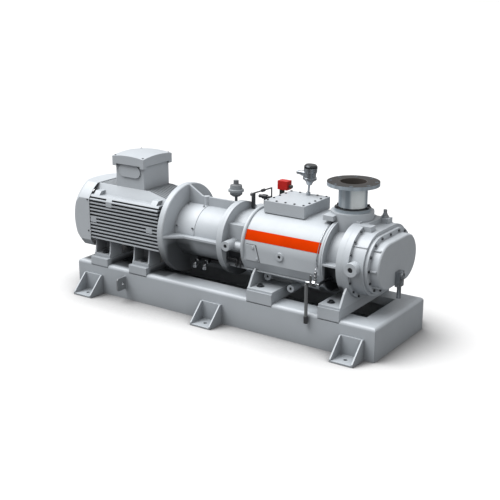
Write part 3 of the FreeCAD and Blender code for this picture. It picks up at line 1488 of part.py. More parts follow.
def make_screw(label, y, hand, phase, shaft_start):
    """One screw rotor: a square thread swept round its core, in one piece with its shaft."""
    thread = document.addObject("Part::Feature", "Thread")
    pitch = screw_pitch.number
    turns = math.ceil((rotor_end - rotor_start).number / pitch) + 2
    outer = (screw_radius + thread_spare).number
    root = (screw_root - thread_sink).number
    half = screw_thread.number / 2
    helix = Part.makeLongHelix(pitch, pitch * turns, root, 0, hand < 0)
    start = Part.makePolygon([Vector(root, 0, -half), Vector(outer, 0, -half), Vector(outer, 0, half),
                              Vector(root, 0, half), Vector(root, 0, -half)])
    thread.Shape = Part.Wire(helix).makePipeShell([start], True, True)
    turn = FreeCAD.Rotation(Vector(0, 1, 0), 90)
    thread.Placement = FreeCAD.Placement(Vector(0, 0, 0), turn)
    bind_place(thread, rotor_start - screw_pitch * 1.5 + screw_pitch * phase, y, axis_height)
    barrel = cylinder("x", rotor_start, y, axis_height, screw_radius, rotor_end - rotor_start)
    trimmed = common(thread, barrel)
    core = turned(0, y, axis_height, [
        (shaft_start, 0), (shaft_start, rotor_shaft), (rotor_start, rotor_shaft),
        (rotor_start, screw_root), (rotor_end, screw_root), (rotor_end, rotor_shaft),
        (shaft_finish, rotor_shaft), (shaft_finish, 0),
    ])
    keep(joined([core, trimmed]), label)


def make_screws():
    """The pair of screw rotors, equal and of opposite hand, half a pitch apart."""
    coupling_end = motor_flange_face + hub_gap + hub_length + spider_thickness
    make_screw("drive_screw", drive_y, 1, 0, coupling_end)
    make_screw("driven_screw", driven_y, -1, 0.5, bearing_start)


def make_bearings():
    """Bearing rings of both rotor shafts, seated in the two end housings."""
    rings = []
    for start in (bearing_start, suction_face):
        for y in (drive_y, driven_y):
            rings.append(turned(start, y, axis_height, [
                (0, rotor_shaft + fit_clearance), (0, bearing_radius), (bearing_width, bearing_radius),
                (bearing_width, rotor_shaft + fit_clearance),
            ]))
    keep(together(rings, "rotor_bearings"), "rotor_bearings")


def make_timing_gear(label, y):
    """A spur gear with straight-sided teeth, narrower at the tip.

    The number of teeth is odd, so a tooth that points along +Y meets a gap that points along -Y.
    """
    pitch_radius = rotor_distance / 2
    tip = pitch_radius + tooth_height * tip_share
    root = tip - tooth_height
    points = []
    step = 2 * math.pi / gear_teeth
    for tooth in range(gear_teeth):
        for radius, share in ((root, -root_half), (tip, -tip_half), (tip, tip_half), (root, root_half)):
            angle = step * (tooth + share)
            points.append((radius * math.cos(angle), radius * math.sin(angle)))
    body = plate("YZ_Plane", gear_start, y, axis_height, points, gear_width)
    bore = cylinder("x", gear_start - 1, y, axis_height, rotor_shaft + fit_clearance, gear_width + 2)
    keep(cut(body, [bore]), label)


def make_pump_feet():
    """Two saddle brackets under the pump: base plates and upright webs cut to the housings."""
    low = frame_height + pump_beam_height
    for label, start, length, first in (
            ("pump_foot_discharge", discharge_foot_start, discharge_foot_length, True),
            ("pump_foot_suction", suction_foot_start, suction_foot_length, False)):
        web_x = start if first else start + length - pump_foot_web
        pieces = [box(start, -pump_foot_width / 2, low, length, pump_foot_width, pump_foot_plate)]
        pieces.append(plate("YZ_Plane", web_x, 0, low, [
            (-pump_foot_width / 2, 0), (pump_foot_width / 2, 0), (pump_foot_crown, pump_foot_rise),
            (pump_foot_shoulder, pump_foot_top), (-pump_foot_shoulder, pump_foot_top),
            (-pump_foot_crown, pump_foot_rise),
        ], pump_foot_web))
        if first:
            tools = housing_shape(start - 1, length + 2, seat_clearance)
        else:
            tools = [racetrack(start - 1, pump_y, axis_height, housing_spread / 2,
                               housing_radius + seat_clearance, length + 2)]
        for bolt_x, bolt_y in pump_bolt_places():
            if start.number < bolt_x.number < (start + length).number:
                tools.append(cylinder("z", bolt_x, bolt_y, low - 1, bolt_radius + 1, pump_foot_plate + 2))
        keep(cut(joined(pieces), tools), label)


def make_vent_filter():
    """Vent filter on a stem, seated on the lantern's tube: cup, brim, dome and knob."""
    brim = vent_low + vent_cup
    dome = brim + vent_brim
    knob = dome + vent_dome
    item = turned(vent_x, vent_y, axis_height + tube_radius / 2, [
        (0, 0), (0, vent_stem_radius), (vent_low, vent_stem_radius), (vent_low, vent_cup_foot),
        (vent_low + vent_cup_slope, vent_shade), (brim - vent_lip, vent_shade), (brim, vent_filter_radius),
        (dome, vent_filter_radius), (dome + vent_dome_foot, vent_shade),
        (knob - vent_dome_slope, vent_dome_rim),
        (knob, vent_cap_radius), (knob + vent_knob, vent_cap_radius), (knob + vent_knob, 0),
    ], axis="Z_Axis")
    tube = cylinder("x", motor_flange_face, drive_y, axis_height, tube_radius + seat_clearance,
                    joint_face - motor_flange_face)
    keep(cut(item, [tube]), "vent_filter")


def make_purge_line():
    """Purge gas line: a valve block on the discharge housing, a bent tube and a union on the ring."""
    top = axis_height + discharge_radius
    level = top + purge_rise
    reach = purge_end - purge_x
    height = purge_end_height - purge_rise
    length = math.sqrt(reach.number ** 2 + height.number ** 2)
    slope = math.degrees(math.asin(height.number / length))
    block = box(purge_x - purge_block / 2, purge_y - purge_block / 2, top, purge_block, purge_block,
                purge_rise)
    knob = cylinder("x", purge_x - purge_block, purge_y, level - purge_block / 2, purge_knob,
                    purge_block)
    run = cylinder("x", purge_x, purge_y, level, purge_tube, length)
    valve = hexagon("x", purge_x, purge_y, level, purge_valve, purge_valve_length)
    for item, share in ((run, 0), (valve, purge_valve_share)):
        item.Placement = FreeCAD.Placement(Vector(0, 0, 0), FreeCAD.Rotation(Vector(0, 1, 0), 90 - slope))
        bind_place(item, purge_x + reach * share, purge_y, level + height * share)
    corner = document.addObject("Part::Sphere", "Corner")
    corner.setExpression("Radius", purge_corner.formula)
    bind_place(corner, purge_end, purge_y, level + height)
    union_top = axis_height + housing_radius + purge_union
    drop = cylinder("z", purge_end, purge_y, union_top, purge_tube, level + height - union_top)
    union = box(purge_end - purge_union_width / 2, purge_y - purge_union_width / 2,
                axis_height + body_radius, purge_union_width, purge_union_width,
                purge_union + housing_radius - body_radius)
    union = cut(union, housing_start(seat_clearance))
    keep(joined([block, knob, run, valve, corner, drop, union]), "purge_line")


def make_switch_box():
    """Pressure switch in a red case on a black socket, seated on the screw housing."""
    socket = cylinder("z", switch_x - switch_shift, switch_y, axis_height + housing_radius / 2,
                      switch_socket, switch_low - housing_radius / 2)
    case = box(switch_x - switch_length / 2, switch_y - switch_width / 2, axis_height + switch_low,
               switch_length, switch_width, switch_height)
    gland = cylinder("x", switch_x + switch_length / 2, switch_y,
                     axis_height + switch_low + switch_gland_rise, switch_gland, switch_gland * 2)
    discharge_body = racetrack(joint_face, pump_y, axis_height, housing_spread / 2,
                               discharge_radius + seat_clearance, screw_start - joint_face)
    seat = housing_start(seat_clearance) + [discharge_body]
    keep(joined([cut(socket, seat), case, gland]), "switch_box")


def make_temperature_transmitter():
    """Thermometer on the jacket cover, slightly tilted: hexagon, neck, round head, cap and cable gland."""
    top = axis_height + jacket_seat + jacket_height
    head = sender_head
    body = sender_neck + sender_cone
    cap = body + sender_body
    high = cap + sender_cap
    item = turned(0, 0, 0, [
        (-sender_hexagon, 0), (-sender_hexagon, sender_hexagon), (sender_hexagon_height, sender_hexagon),
        (sender_hexagon_height, sender_rod), (sender_neck, sender_rod), (sender_neck, sender_throat),
        (body - sender_slope, sender_shoulder), (body, head), (body + sender_rim, head),
        (body + sender_rim, sender_waist), (cap, sender_waist), (cap, sender_lid),
        (high - sender_chamfer, sender_lid), (high, sender_crown), (high, 0),
    ], axis="Z_Axis")
    gland_z = body + sender_gland_rise
    gland = cylinder("-x", -head / 2, 0, gland_z, sender_gland, sender_gland_reach - head / 2)
    nut = cylinder("-x", -sender_nut_start, 0, gland_z, sender_nut, sender_nut_length)
    whole = joined([item, gland, nut])
    tilt = FreeCAD.Rotation(Vector(0, 1, 0), sender_tilt.number)
    whole.Placement = FreeCAD.Placement(Vector(0, 0, 0), tilt)
    bind_place(whole, sender_x, sender_y, top)
    under = box(sender_x - head, sender_y - head, top - head, head * 2, head * 2, head)
    keep(cut(whole, [under]), "temperature_transmitter")


def make_water_connections():
    """Two cooling-water hose tails on a header that ends at the lantern's joint flange."""
    start = water_first - water_radius * 2
    pieces = [cylinder("x", start, water_back, water_height, water_radius,
                       joint_face - joint_flange - start)]
    for x in (water_first, water_first + water_step):
        pieces.append(cylinder("-y", x, water_back, water_height, water_tail, water_length))
        pieces.append(cylinder("-z", x, water_back - water_length + water_radius, water_height,
                               water_hose, water_drop))
    keep(joined(pieces), "water_connections")


def make_oil_fittings():
    """Oil filler plug on the gear housing, and the sight glass with its drain on the gear cover."""
    x = suction_face + ring_thickness / 2 + gear_lug_length / 2
    top = axis_height + housing_radius
    keep(joined([
        cylinder("z", x, driven_y, top, oil_plug_radius, oil_plug_radius / 2),
        hexagon("z", x, driven_y, top, oil_plug_hexagon, oil_plug_radius),
        cylinder("z", x, driven_y, top, oil_plug_radius / 2, oil_plug_height),
    ]), "oil_filler_plug")
    block_low = sight_z + sight_margin - sight_block_height
    keep(joined([
        box(cover_end, sight_y - sight_block_width / 2, block_low, sight_block, sight_block_width,
            sight_block_height),
        cylinder("x", cover_end + sight_block, sight_y, sight_z, sight_radius, sight_depth),
        cylinder("-z", cover_end + sight_block / 2, sight_y, sight_z, oil_drain_radius, oil_drain_drop),
    ]), "oil_sight_glass")


def make_drain():
    """Drain line with a ball valve in front of the pump: pipe, valve body and lever."""
    z = drain_height
    radius = drain_pipe_radius
    feed_x = drain_valve_x + drain_feed
    feed = cut(cylinder("-y", feed_x, pump_y, z, radius, pump_y - drain_y), [
        racetrack(screw_end, pump_y, axis_height, housing_spread / 2, neck_radius + seat_clearance,
                  suction_face - screw_end)])
    elbow = cylinder("x", drain_valve_x, drain_y, z, radius, drain_feed + radius)
    body = hexagon("x", drain_valve_x - valve_length / 2, drain_y, z, valve_radius, valve_length)
    outlet = cylinder("-x", drain_valve_x, drain_y, z, radius, drain_valve_x - drain_pipe_x)
    stem = cylinder("-y", drain_valve_x, drain_y, z, lever_stem, valve_radius + lever_gap * 2)
    keep(joined([feed, elbow, body, outlet, stem]), "drain_valve")
    keep(joined([
        cylinder("-z", drain_pipe_x, drain_y, z - radius, radius, drain_drop),
        cylinder("-z", drain_pipe_x, drain_y, z - radius - drain_drop + drain_nut, drain_nut_radius,
                 drain_nut),
    ]), "drain_pipe")
    lever_y = drain_y - valve_radius - lever_gap
    eye = cylinder("-y", drain_valve_x, lever_y, z, lever_eye, lever_sheet)
    arm = box(drain_valve_x - lever_width / 2, lever_y - lever_sheet, z, lever_width, lever_sheet,
              lever_length)
    hole = cylinder("-y", drain_valve_x, lever_y + 1, z, lever_stem + fit_clearance, lever_sheet + 2)
    keep(cut(joined([eye, arm]), [hole]), "drain_lever")


make_base_frame()
make_feet()
make_beams()
make_hold_down_bolts()
make_motor_frame()
make_motor_shields()
make_fan_cowl()
make_motor_fan()
make_terminal_box()
make_motor_inside()
make_lantern()
make_coupling_guards()
make_flange_bolts()
make_coupling()
make_discharge_housing()
make_screw_housing()
make_jacket_cover()
make_side_cover()
make_label_strip()
make_suction_housing()
make_inlet_stub()
make_gear_housing()
make_gear_cover()
keep(together(pump_bolts, "pump_bolts"), "pump_bolts")
make_screws()
make_bearings()
make_timing_gear("drive_timing_gear", drive_y)
make_timing_gear("driven_timing_gear", driven_y)
make_pump_feet()
make_vent_filter()
make_purge_line()
make_switch_box()
make_temperature_transmitter()
make_water_connections()
make_oil_fittings()
make_drain()

document.recompute()
for item in document.Objects:
    if "Invalid" in item.State or "Error" in item.State:
        raise RuntimeError(f"{item.Label} failed: {item.State}")
for item in parts:
    if item.Shape.isNull() or not item.Shape.isValid():
        raise RuntimeError(f"{item.Label} has no valid shape")

os.makedirs("parts", exist_ok=True)
for item in parts:
    item.Shape.exportStep(f"parts/{item.Label}.step")
    print(item.Label, len(item.Shape.Solids), round(item.Shape.Volume))
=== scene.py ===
"""Looks of the dry screw vacuum pump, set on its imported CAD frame, in metres.

X runs along the drive axis from the motor to the gear cover, the front faces -Y, and Z is up.
"""

import json
import math

import bmesh
import bpy
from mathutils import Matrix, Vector


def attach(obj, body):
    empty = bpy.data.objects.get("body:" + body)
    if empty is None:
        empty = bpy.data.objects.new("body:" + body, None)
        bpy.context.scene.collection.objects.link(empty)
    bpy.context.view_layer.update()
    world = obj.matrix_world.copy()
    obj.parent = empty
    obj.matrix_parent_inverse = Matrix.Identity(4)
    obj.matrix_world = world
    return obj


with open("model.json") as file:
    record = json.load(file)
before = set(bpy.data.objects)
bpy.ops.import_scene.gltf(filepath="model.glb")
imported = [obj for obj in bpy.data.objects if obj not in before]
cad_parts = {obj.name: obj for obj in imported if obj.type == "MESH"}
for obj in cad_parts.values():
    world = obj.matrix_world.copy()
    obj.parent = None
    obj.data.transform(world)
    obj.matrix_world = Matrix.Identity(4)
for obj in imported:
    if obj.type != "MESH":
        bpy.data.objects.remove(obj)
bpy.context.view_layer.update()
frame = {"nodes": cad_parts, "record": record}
nodes = frame["nodes"]

# Camera, fitted to the photograph on the base frame's corners
CAMERA_PLACE = Vector((3.6905, -5.2504, 2.4262))
CAMERA_TURN = math.radians(34.54)
CAMERA_DROP = math.radians(17.35)
CAMERA_LENS = 69.21
CAMERA_SENSOR = 36.0

# Light
SKY_STRENGTH = 0.50
KEY_STRENGTH = 3.9
KEY_SPREAD = math.radians(50)
KEY_FROM = Vector((-0.45, -0.25, 1.05))
FILL_STRENGTH = 0.5
FILL_SPREAD = math.radians(60)
FILL_FROM = Vector((1.0, -0.35, 0.25))

# Floor, as the camera sees it and as it lights the object
FLOOR_HALF = 40.0
FLOOR_SEEN = (0.72, 0.72, 0.722)
FLOOR_PAINTED_SHADOW = (0.19, 0.19, 0.194)
FLOOR_UNSEEN = (0.09, 0.09, 0.09)
FLOOR_SHADOW_REACH = 0.55
FLOOR_BAND = (0.4, 0.96)

# Grain sizes of the finishes, per metre
CAST_GRAIN = 420.0
SHEET_GRAIN = 900.0
CLOUD_GRAIN = 3.2
SHEEN_GRAIN = 18.0
STAIN_GRAIN = 24.0
SKIN_GRAIN = 9.0

# The middle of a noise's range, which carries the change from one tone to the other
NOISE_BAND = (0.3, 0.7)
STAIN_BAND = (0.35, 0.65)

# Painted shade in the corners of paint, and wear with a painted highlight on its edges
CORNER_REACH = 0.16
CORNER_BAND = (0.25, 0.9)
EDGE_BAND = (0.02, 0.25)
EDGE_SHARE = 0.5

# Edges that bend by more than this stay sharp on the pieces
SHARP_TURN = math.radians(35)

# Height of the shafts, and the motor's place across the base
AXIS = 0.541
DRIVE_Y = -0.070

# Tones of the paints, of painted deep shade in recesses and under parts, and of painted highlights on
# the plated inlet tube
GREY = (0.49, 0.525, 0.56)
PALE = (0.53, 0.565, 0.60)
RECESS_SHADE = (0.022, 0.025, 0.029)
DIM = (0.085, 0.092, 0.10)
SHADE = (0.21, 0.225, 0.24)
ZINC_PAINTED_HIGHLIGHT = (0.93, 0.99, 1.0)
ZINC_FAINT_HIGHLIGHT = (0.56, 0.62, 0.67)

# Boxes that hold a painted shade or a painted highlight: two corners and the soft margin
LIFTING_LUG = ((-0.81, -0.44, 0.08), (-0.75, -0.352, 0.215), 0.003)
UNDER_MOTOR = ((-1.20, -0.29, 0.205), (-0.45, 0.29, 0.24), 0.03)
SUCTION_RECESS = ((0.815, -0.245, 0.335), (0.945, 0.34, 0.518), 0.014)
DISCHARGE_RECESS = ((0.070, -0.262, 0.415), (0.196, 0.36, 0.488), 0.012)
DISCHARGE_LOW = ((0.010, -0.262, 0.20), (0.196, 0.36, 0.370), 0.025)
LANTERN_LOW = ((-0.4315, -0.30, 0.10), (0.030, 0.20, 0.350), 0.13)
UNDER_SIDE_RIB = ((-0.455, -0.325, 0.10), (-0.275, 0.20, 0.470), 0.06)
TUBE_RIGHT_HIGHLIGHT = ((0.884, -0.05, 0.86), (0.935, 0.033, 0.993), 0.014)
TUBE_LEFT_HIGHLIGHT = ((0.815, -0.05, 0.86), (0.836, 0.03, 0.993), 0.009)

# Stretches of one axis where a node changes its tone
FOOT_RING = ("Z", 0.80, 0.8505)
FOOT_RING_TOP = ("Z", 0.8505, 0.858)
FLANGE_FACE = ("Z", 1.0185, 1.03)
FILTER_LOW = ("Z", 0.5, 0.829)
FILTER_TOP = ("Z", 0.884, 0.95)
FILLER_PLUG = ("X", 0.9, 1.3)
SWITCH_STEM = ("Z", 0.5, 0.8427)
SWITCH_END = ("X", 0.2513, 0.35)
TRANSMITTER_TOP = ("Z", 1.034, 1.1)
PIPE_END = ("Z", 0.1, 0.2095)

# The inlet tube's bore: its place in X and Y, and its radius
INLET_BORE = (0.846, 0.046, 0.0885)


def tree_of(material):
    """The material's node tree, emptied, with its output."""
    material.use_nodes = True
    tree = material.node_tree
    tree.nodes.clear()
    output = tree.nodes.new("ShaderNodeOutputMaterial")
    return tree, output


def set_inputs(node, values):
    """Sets a node's input sockets by name."""
    for name, value in values.items():
        node.inputs[name].default_value = value


def new_finish(name):
    """A new material with its node tree and the shader that its output shows."""
    material = bpy.data.materials.new(name)
    tree, output = tree_of(material)
    shader = tree.nodes.new("ShaderNodeBsdfPrincipled")
    tree.links.new(shader.outputs["BSDF"], output.inputs["Surface"])
    return material, tree, shader


def noise(tree, scale, detail=3.0, rough=0.5, stretch=(1.0, 1.0, 1.0)):
    """Noise in the object's own metres."""
    place = tree.nodes.new("ShaderNodeTexCoord")
    mapping = tree.nodes.new("ShaderNodeMapping")
    mapping.inputs["Scale"].default_value = stretch
    texture = tree.nodes.new("ShaderNodeTexNoise")
    set_inputs(texture, {"Scale": scale, "Detail": detail, "Roughness": rough})
    tree.links.new(place.outputs["Object"], mapping.inputs["Vector"])
    tree.links.new(mapping.outputs["Vector"], texture.inputs["Vector"])
    return texture.outputs["Fac"]


def spread(tree, source, low, high, out_low=0.0, out_high=1.0):
    """Maps a value from one range to another and holds it there."""
    node = tree.nodes.new("ShaderNodeMapRange")
    set_inputs(node, {"From Min": low, "From Max": high, "To Min": out_low, "To Max": out_high})
    tree.links.new(source, node.inputs["Value"])
    return node.outputs["Result"]


def mixed(tree, share, first, second):
    """A colour between two colours, each a tuple or a socket."""
    node = tree.nodes.new("ShaderNodeMix")
    node.data_type = "RGBA"
    tree.links.new(share, node.inputs["Factor"])
    for name, value in (("A", first), ("B", second)):
        socket = next(s for s in node.inputs if s.name == name and s.type == "RGBA")
        if isinstance(value, tuple):
            socket.default_value = (*value, 1.0)
        else:
            tree.links.new(value, socket)
    return next(s for s in node.outputs if s.type == "RGBA")


def soft_edges(tree, radius):
    """The normal of the surface as if its edges had this radius."""
    bevel = tree.nodes.new("ShaderNodeBevel")
    bevel.samples = 6
    bevel.inputs["Radius"].default_value = radius
    return bevel.outputs["Normal"]


def edge_mask(tree, rounded):
    """High where the rounded normal leaves the true one, which is along the edges."""
    low, high = EDGE_BAND
    place = tree.nodes.new("ShaderNodeNewGeometry")
    dot = tree.nodes.new("ShaderNodeVectorMath")
    dot.operation = "DOT_PRODUCT"
    tree.links.new(rounded, dot.inputs[0])
    tree.links.new(place.outputs["Normal"], dot.inputs[1])
    return spread(tree, dot.outputs["Value"], 1.0 - low, 1.0 - high)


def bumped(tree, height, normal, strength, depth):
    """A bump of this depth in metres on a normal."""
    node = tree.nodes.new("ShaderNodeBump")
    set_inputs(node, {"Strength": strength, "Distance": depth})
    tree.links.new(height, node.inputs["Height"])
    tree.links.new(normal, node.inputs["Normal"])
    return node.outputs["Normal"]


def compared(tree, source, operation, limit):
    """1 where a value is above or below a limit."""
    node = tree.nodes.new("ShaderNodeMath")
    node.operation = operation
    tree.links.new(source, node.inputs[0])
    node.inputs[1].default_value = limit
    return node.outputs["Value"]


def product(tree, first, second):
    """Two values multiplied."""
    node = tree.nodes.new("ShaderNodeMath")
    node.operation = "MULTIPLY"
    tree.links.new(first, node.inputs[0])
    tree.links.new(second, node.inputs[1])
    return node.outputs["Value"]


def own_place(tree):
    """The place on the object along its own X, Y and Z, in metres."""
    place = tree.nodes.new("ShaderNodeTexCoord")
    split = tree.nodes.new("ShaderNodeSeparateXYZ")
    tree.links.new(place.outputs["Object"], split.inputs["Vector"])
    return split.outputs


def between(tree, axis, low, high):
    """1 between two places along one of the object's own axes."""
    along = own_place(tree)[axis]
    return product(tree, compared(tree, along, "GREATER_THAN", low),
                   compared(tree, along, "LESS_THAN", high))


def around(tree, x, y, radius):
    """1 within a radius of an upright line through the object."""
    place = tree.nodes.new("ShaderNodeTexCoord")
    flat = tree.nodes.new("ShaderNodeVectorMath")
    flat.operation = "MULTIPLY"
    flat.inputs[1].default_value = (1.0, 1.0, 0.0)
    away = tree.nodes.new("ShaderNodeVectorMath")
    away.operation = "DISTANCE"
    away.inputs[1].default_value = (x, y, 0.0)
    tree.links.new(place.outputs["Object"], flat.inputs[0])
    tree.links.new(flat.outputs["Vector"], away.inputs[0])
    return compared(tree, away.outputs["Value"], "LESS_THAN", radius)


def inside(tree, low, high, soft):
    """1 inside a box between two corners, fading out over a soft margin beyond it."""
    place = own_place(tree)
    sides = []
    for axis, start, end in zip("XYZ", low, high):
        sides.append(spread(tree, place[axis], start - soft, start))
        sides.append(spread(tree, place[axis], end, end + soft, 1.0, 0.0))
    share = sides[0]
    for side in sides[1:]:
        share = product(tree, share, side)
    return share


def patched(tree, tone, patches):
    """A tone with other colours in given places: on an axis, around a line or in a soft box."""
    masks = {"box": inside, "around": around}
    for kind, *where, colour in patches:
        mask = masks[kind](tree, *where) if kind in masks else between(tree, kind, *where)
        tone = mixed(tree, mask, tone, colour)
    return tone


def scaled(colour, factor):
    """A colour made darker or lighter."""
    return tuple(min(channel * factor, 1.0) for channel in colour)


def paint(name, colour, roughness=0.42, grain=CAST_GRAIN, depth=0.0004, edge=0.004, wear_and_highlight=1.25,
          corner_shade=0.58, patches=()):
    """Paint on metal: grain, cloudy tone, painted shade in corners, edges brighter with wear and
    painted highlight.
    """
    material, tree, shader = new_finish(name)
    set_inputs(shader, {"Coat Weight": 0.12, "Coat Roughness": 0.3, "Specular IOR Level": 0.45})
    rounded = soft_edges(tree, edge)
    cloud = spread(tree, noise(tree, CLOUD_GRAIN, 5.0, 0.6), *NOISE_BAND)
    tone = mixed(tree, cloud, scaled(colour, 0.965), scaled(colour, 1.03))
    # painted shade: colour darker in corners, where ambient occlusion finds nearby surfaces
    corner = tree.nodes.new("ShaderNodeAmbientOcclusion")
    corner.samples = 4
    corner.inputs["Distance"].default_value = CORNER_REACH
    shaded_corner = spread(tree, corner.outputs["AO"], *CORNER_BAND)
    tone = mixed(tree, shaded_corner, scaled(colour, corner_shade), tone)
    # wear and painted highlight: colour brighter along the edges
    worn_and_lit = spread(tree, edge_mask(tree, rounded), 0.0, 1.0, 0.0, EDGE_SHARE)
    tone = mixed(tree, worn_and_lit, tone, scaled(colour, wear_and_highlight))
    tree.links.new(patched(tree, tone, patches), shader.inputs["Base Color"])
    sheen = spread(tree, noise(tree, SHEEN_GRAIN, 4.0), *NOISE_BAND, roughness - 0.05, roughness + 0.07)
    tree.links.new(sheen, shader.inputs["Roughness"])
    fine = noise(tree, grain, 3.0, 0.55)
    tree.links.new(bumped(tree, fine, rounded, 0.35, depth), shader.inputs["Normal"])
    return material


def metal(name, colour, roughness=0.3, stretch=(1.0, 1.0, 1.0), grain=500.0, edge=0.0015,
          depth=0.0001, metallic=1.0, streaks=(1.0, 1.0, 1.0), contrast=(0.86, 1.06), patches=()):
    """Bare or plated metal with fine marks, drawn out where it was turned or brushed."""
    material, tree, shader = new_finish(name)
    shader.inputs["Metallic"].default_value = metallic
    rounded = soft_edges(tree, edge)
    stain = spread(tree, noise(tree, STAIN_GRAIN, 4.0, 0.6, streaks), *STAIN_BAND)
    tone = mixed(tree, stain, scaled(colour, contrast[0]), scaled(colour, contrast[1]))
    tree.links.new(patched(tree, tone, patches), shader.inputs["Base Color"])
    marks = noise(tree, grain, 4.0, 0.6, stretch)
    sheen = spread(tree, marks, *NOISE_BAND, roughness * 0.75, roughness * 1.3)
    tree.links.new(sheen, shader.inputs["Roughness"])
    tree.links.new(bumped(tree, marks, rounded, 0.4, depth), shader.inputs["Normal"])
    return material


def plastic(name, colour, roughness=0.4, grain=700.0, depth=0.00015, edge=0.002, coat=0.0,
            gloss=0.4, patches=()):
    """Moulded plastic, film or rubber with a fine skin."""
    material, tree, shader = new_finish(name)
    set_inputs(shader, {"Coat Weight": coat, "Coat Roughness": 0.15, "Specular IOR Level": gloss})
    rounded = soft_edges(tree, edge)
    cloud = spread(tree, noise(tree, SKIN_GRAIN, 4.0, 0.6), *NOISE_BAND)
    tone = mixed(tree, cloud, scaled(colour, 0.93), scaled(colour, 1.05))
    tree.links.new(patched(tree, tone, patches), shader.inputs["Base Color"])
    skin = noise(tree, grain, 2.0, 0.5)
    sheen = spread(tree, skin, *NOISE_BAND, roughness - 0.04, roughness + 0.06)
    tree.links.new(sheen, shader.inputs["Roughness"])
    tree.links.new(bumped(tree, skin, rounded, 0.3, depth), shader.inputs["Normal"])
    return material


finishes = {
    "frame_paint": paint("frame_paint", (0.46, 0.495, 0.53), grain=SHEET_GRAIN, depth=0.0002,
                         # painted shade on the lifting lug and on the base under the motor
                         edge=0.005, corner_shade=0.5, patches=(("box", *LIFTING_LUG, SHADE),
                                                        ("box", *UNDER_MOTOR, DIM))),
    "motor_paint": paint("motor_paint", GREY, edge=0.003, corner_shade=0.4),
    "cowl_paint": paint("cowl_paint", PALE, grain=SHEET_GRAIN, depth=0.00015, edge=0.006, wear_and_highlight=1.5),
    "pump_paint": paint("pump_paint", GREY, edge=0.005, wear_and_highlight=1.45,
                        # painted shade: near-black in the suction and discharge recesses, dark under
                        # the discharge housing, the lantern and the side rib
                        patches=(("box", *SUCTION_RECESS, RECESS_SHADE),
                                 ("box", *DISCHARGE_RECESS, RECESS_SHADE),
                                 ("box", *DISCHARGE_LOW, DIM),
                                 ("box", *LANTERN_LOW, DIM),
                                 ("box", *UNDER_SIDE_RIB, DIM))),
    "guard_paint": paint("guard_paint", PALE, grain=SHEET_GRAIN, depth=0.00015, edge=0.001),
    "bolt_steel": metal("bolt_steel", (0.095, 0.10, 0.108), 0.38),
    "winding_steel": metal("winding_steel", (0.24, 0.19, 0.14), 0.55, (8.0, 1.0, 1.0)),
    "rotor_steel": metal("rotor_steel", (0.32, 0.32, 0.33), 0.45, (8.0, 1.0, 1.0)),
    "shaft_steel": metal("shaft_steel", (0.58, 0.58, 0.59), 0.22, (14.0, 1.0, 1.0)),
    "bearing_steel": metal("bearing_steel", (0.62, 0.63, 0.64), 0.18, (14.0, 1.0, 1.0)),
    "fan_plastic": plastic("fan_plastic", (0.03, 0.03, 0.032), 0.5),
    "hub_iron": metal("hub_iron", (0.22, 0.22, 0.23), 0.5),
    "spider_rubber": plastic("spider_rubber", (0.30, 0.05, 0.03), 0.6),
    "label_orange": plastic("label_orange", (0.64, 0.040, 0.0015), 0.75, depth=0.00003,
                            edge=0.0004, gloss=0.0),
    "stub_zinc": metal("stub_zinc", (0.43, 0.50, 0.56), 0.36, (1.0, 1.0, 10.0), metallic=0.22,
                       streaks=(1.0, 1.0, 0.03), contrast=(0.74, 1.14),
                       # painted highlights: bright bands down the right and the left of the inlet tube
                       patches=(("box", *TUBE_RIGHT_HIGHLIGHT, ZINC_PAINTED_HIGHLIGHT),
                                ("box", *TUBE_LEFT_HIGHLIGHT, ZINC_FAINT_HIGHLIGHT),
                                (*FOOT_RING, (0.33, 0.38, 0.42)),
                                (*FOOT_RING_TOP, (0.045, 0.048, 0.052)),
                                (*FLANGE_FACE, (0.012, 0.010, 0.009)),
                                ("around", *INLET_BORE, (0.085, 0.075, 0.068)))),
    "screw_iron": metal("screw_iron", (0.34, 0.34, 0.35), 0.34, (10.0, 1.0, 1.0)),
    "gear_steel": metal("gear_steel", (0.40, 0.40, 0.41), 0.28, (12.0, 1.0, 1.0)),
    "filter_grey": paint("filter_grey", (0.27, 0.295, 0.315), 0.4, edge=0.003,
                         patches=((*FILTER_LOW, (0.10, 0.11, 0.12)),
                                  (*FILTER_TOP, (0.16, 0.17, 0.18)))),
    "fitting_steel": metal("fitting_steel", (0.12, 0.122, 0.128), 0.36,
                           patches=((*FILLER_PLUG, (0.40, 0.42, 0.44)),)),
    "switch_red": plastic("switch_red", (0.50, 0.016, 0.012), 0.4, coat=0.05, gloss=0.3,
                          patches=((*SWITCH_STEM, (0.03, 0.033, 0.033)),
                                   (*SWITCH_END, (0.06, 0.065, 0.06)))),
    "transmitter_grey": metal("transmitter_grey", (0.40, 0.43, 0.46), 0.24, metallic=0.75,
                              edge=0.003, streaks=(1.0, 1.0, 0.1), contrast=(0.35, 1.25),
                              patches=((*TRANSMITTER_TOP, (0.05, 0.055, 0.06)),)),
    "fitting_dark": metal("fitting_dark", (0.03, 0.032, 0.036), 0.4, metallic=0.3),
    "fitting_chrome": metal("fitting_chrome", (0.47, 0.49, 0.51), 0.2),
    "pipe_grey": paint("pipe_grey", (0.17, 0.18, 0.185), 0.45, edge=0.002,
                       patches=((*PIPE_END, (0.045, 0.047, 0.05)),)),
}


def finish_nodes():
    """Gives each CAD node the finish of its material slot."""
    slots = {entry["node"]: entry["material_slot"] for entry in frame["record"]["subparts"]}
    for name, node in nodes.items():
        node.data.materials.clear()
        node.data.materials.append(finishes[slots[name]])
        for face in node.data.polygons:
            face.material_index = 0


def loop_of(shape, centre, side, other, radius, sides):
    """Adds a loop of corners round a centre, in the plane of two directions."""
    loop = []
    for step in range(sides):
        turn = 2 * math.pi * step / sides
        loop.append(shape.verts.new(centre + (side * math.cos(turn) + other * math.sin(turn)) * radius))
    return loop


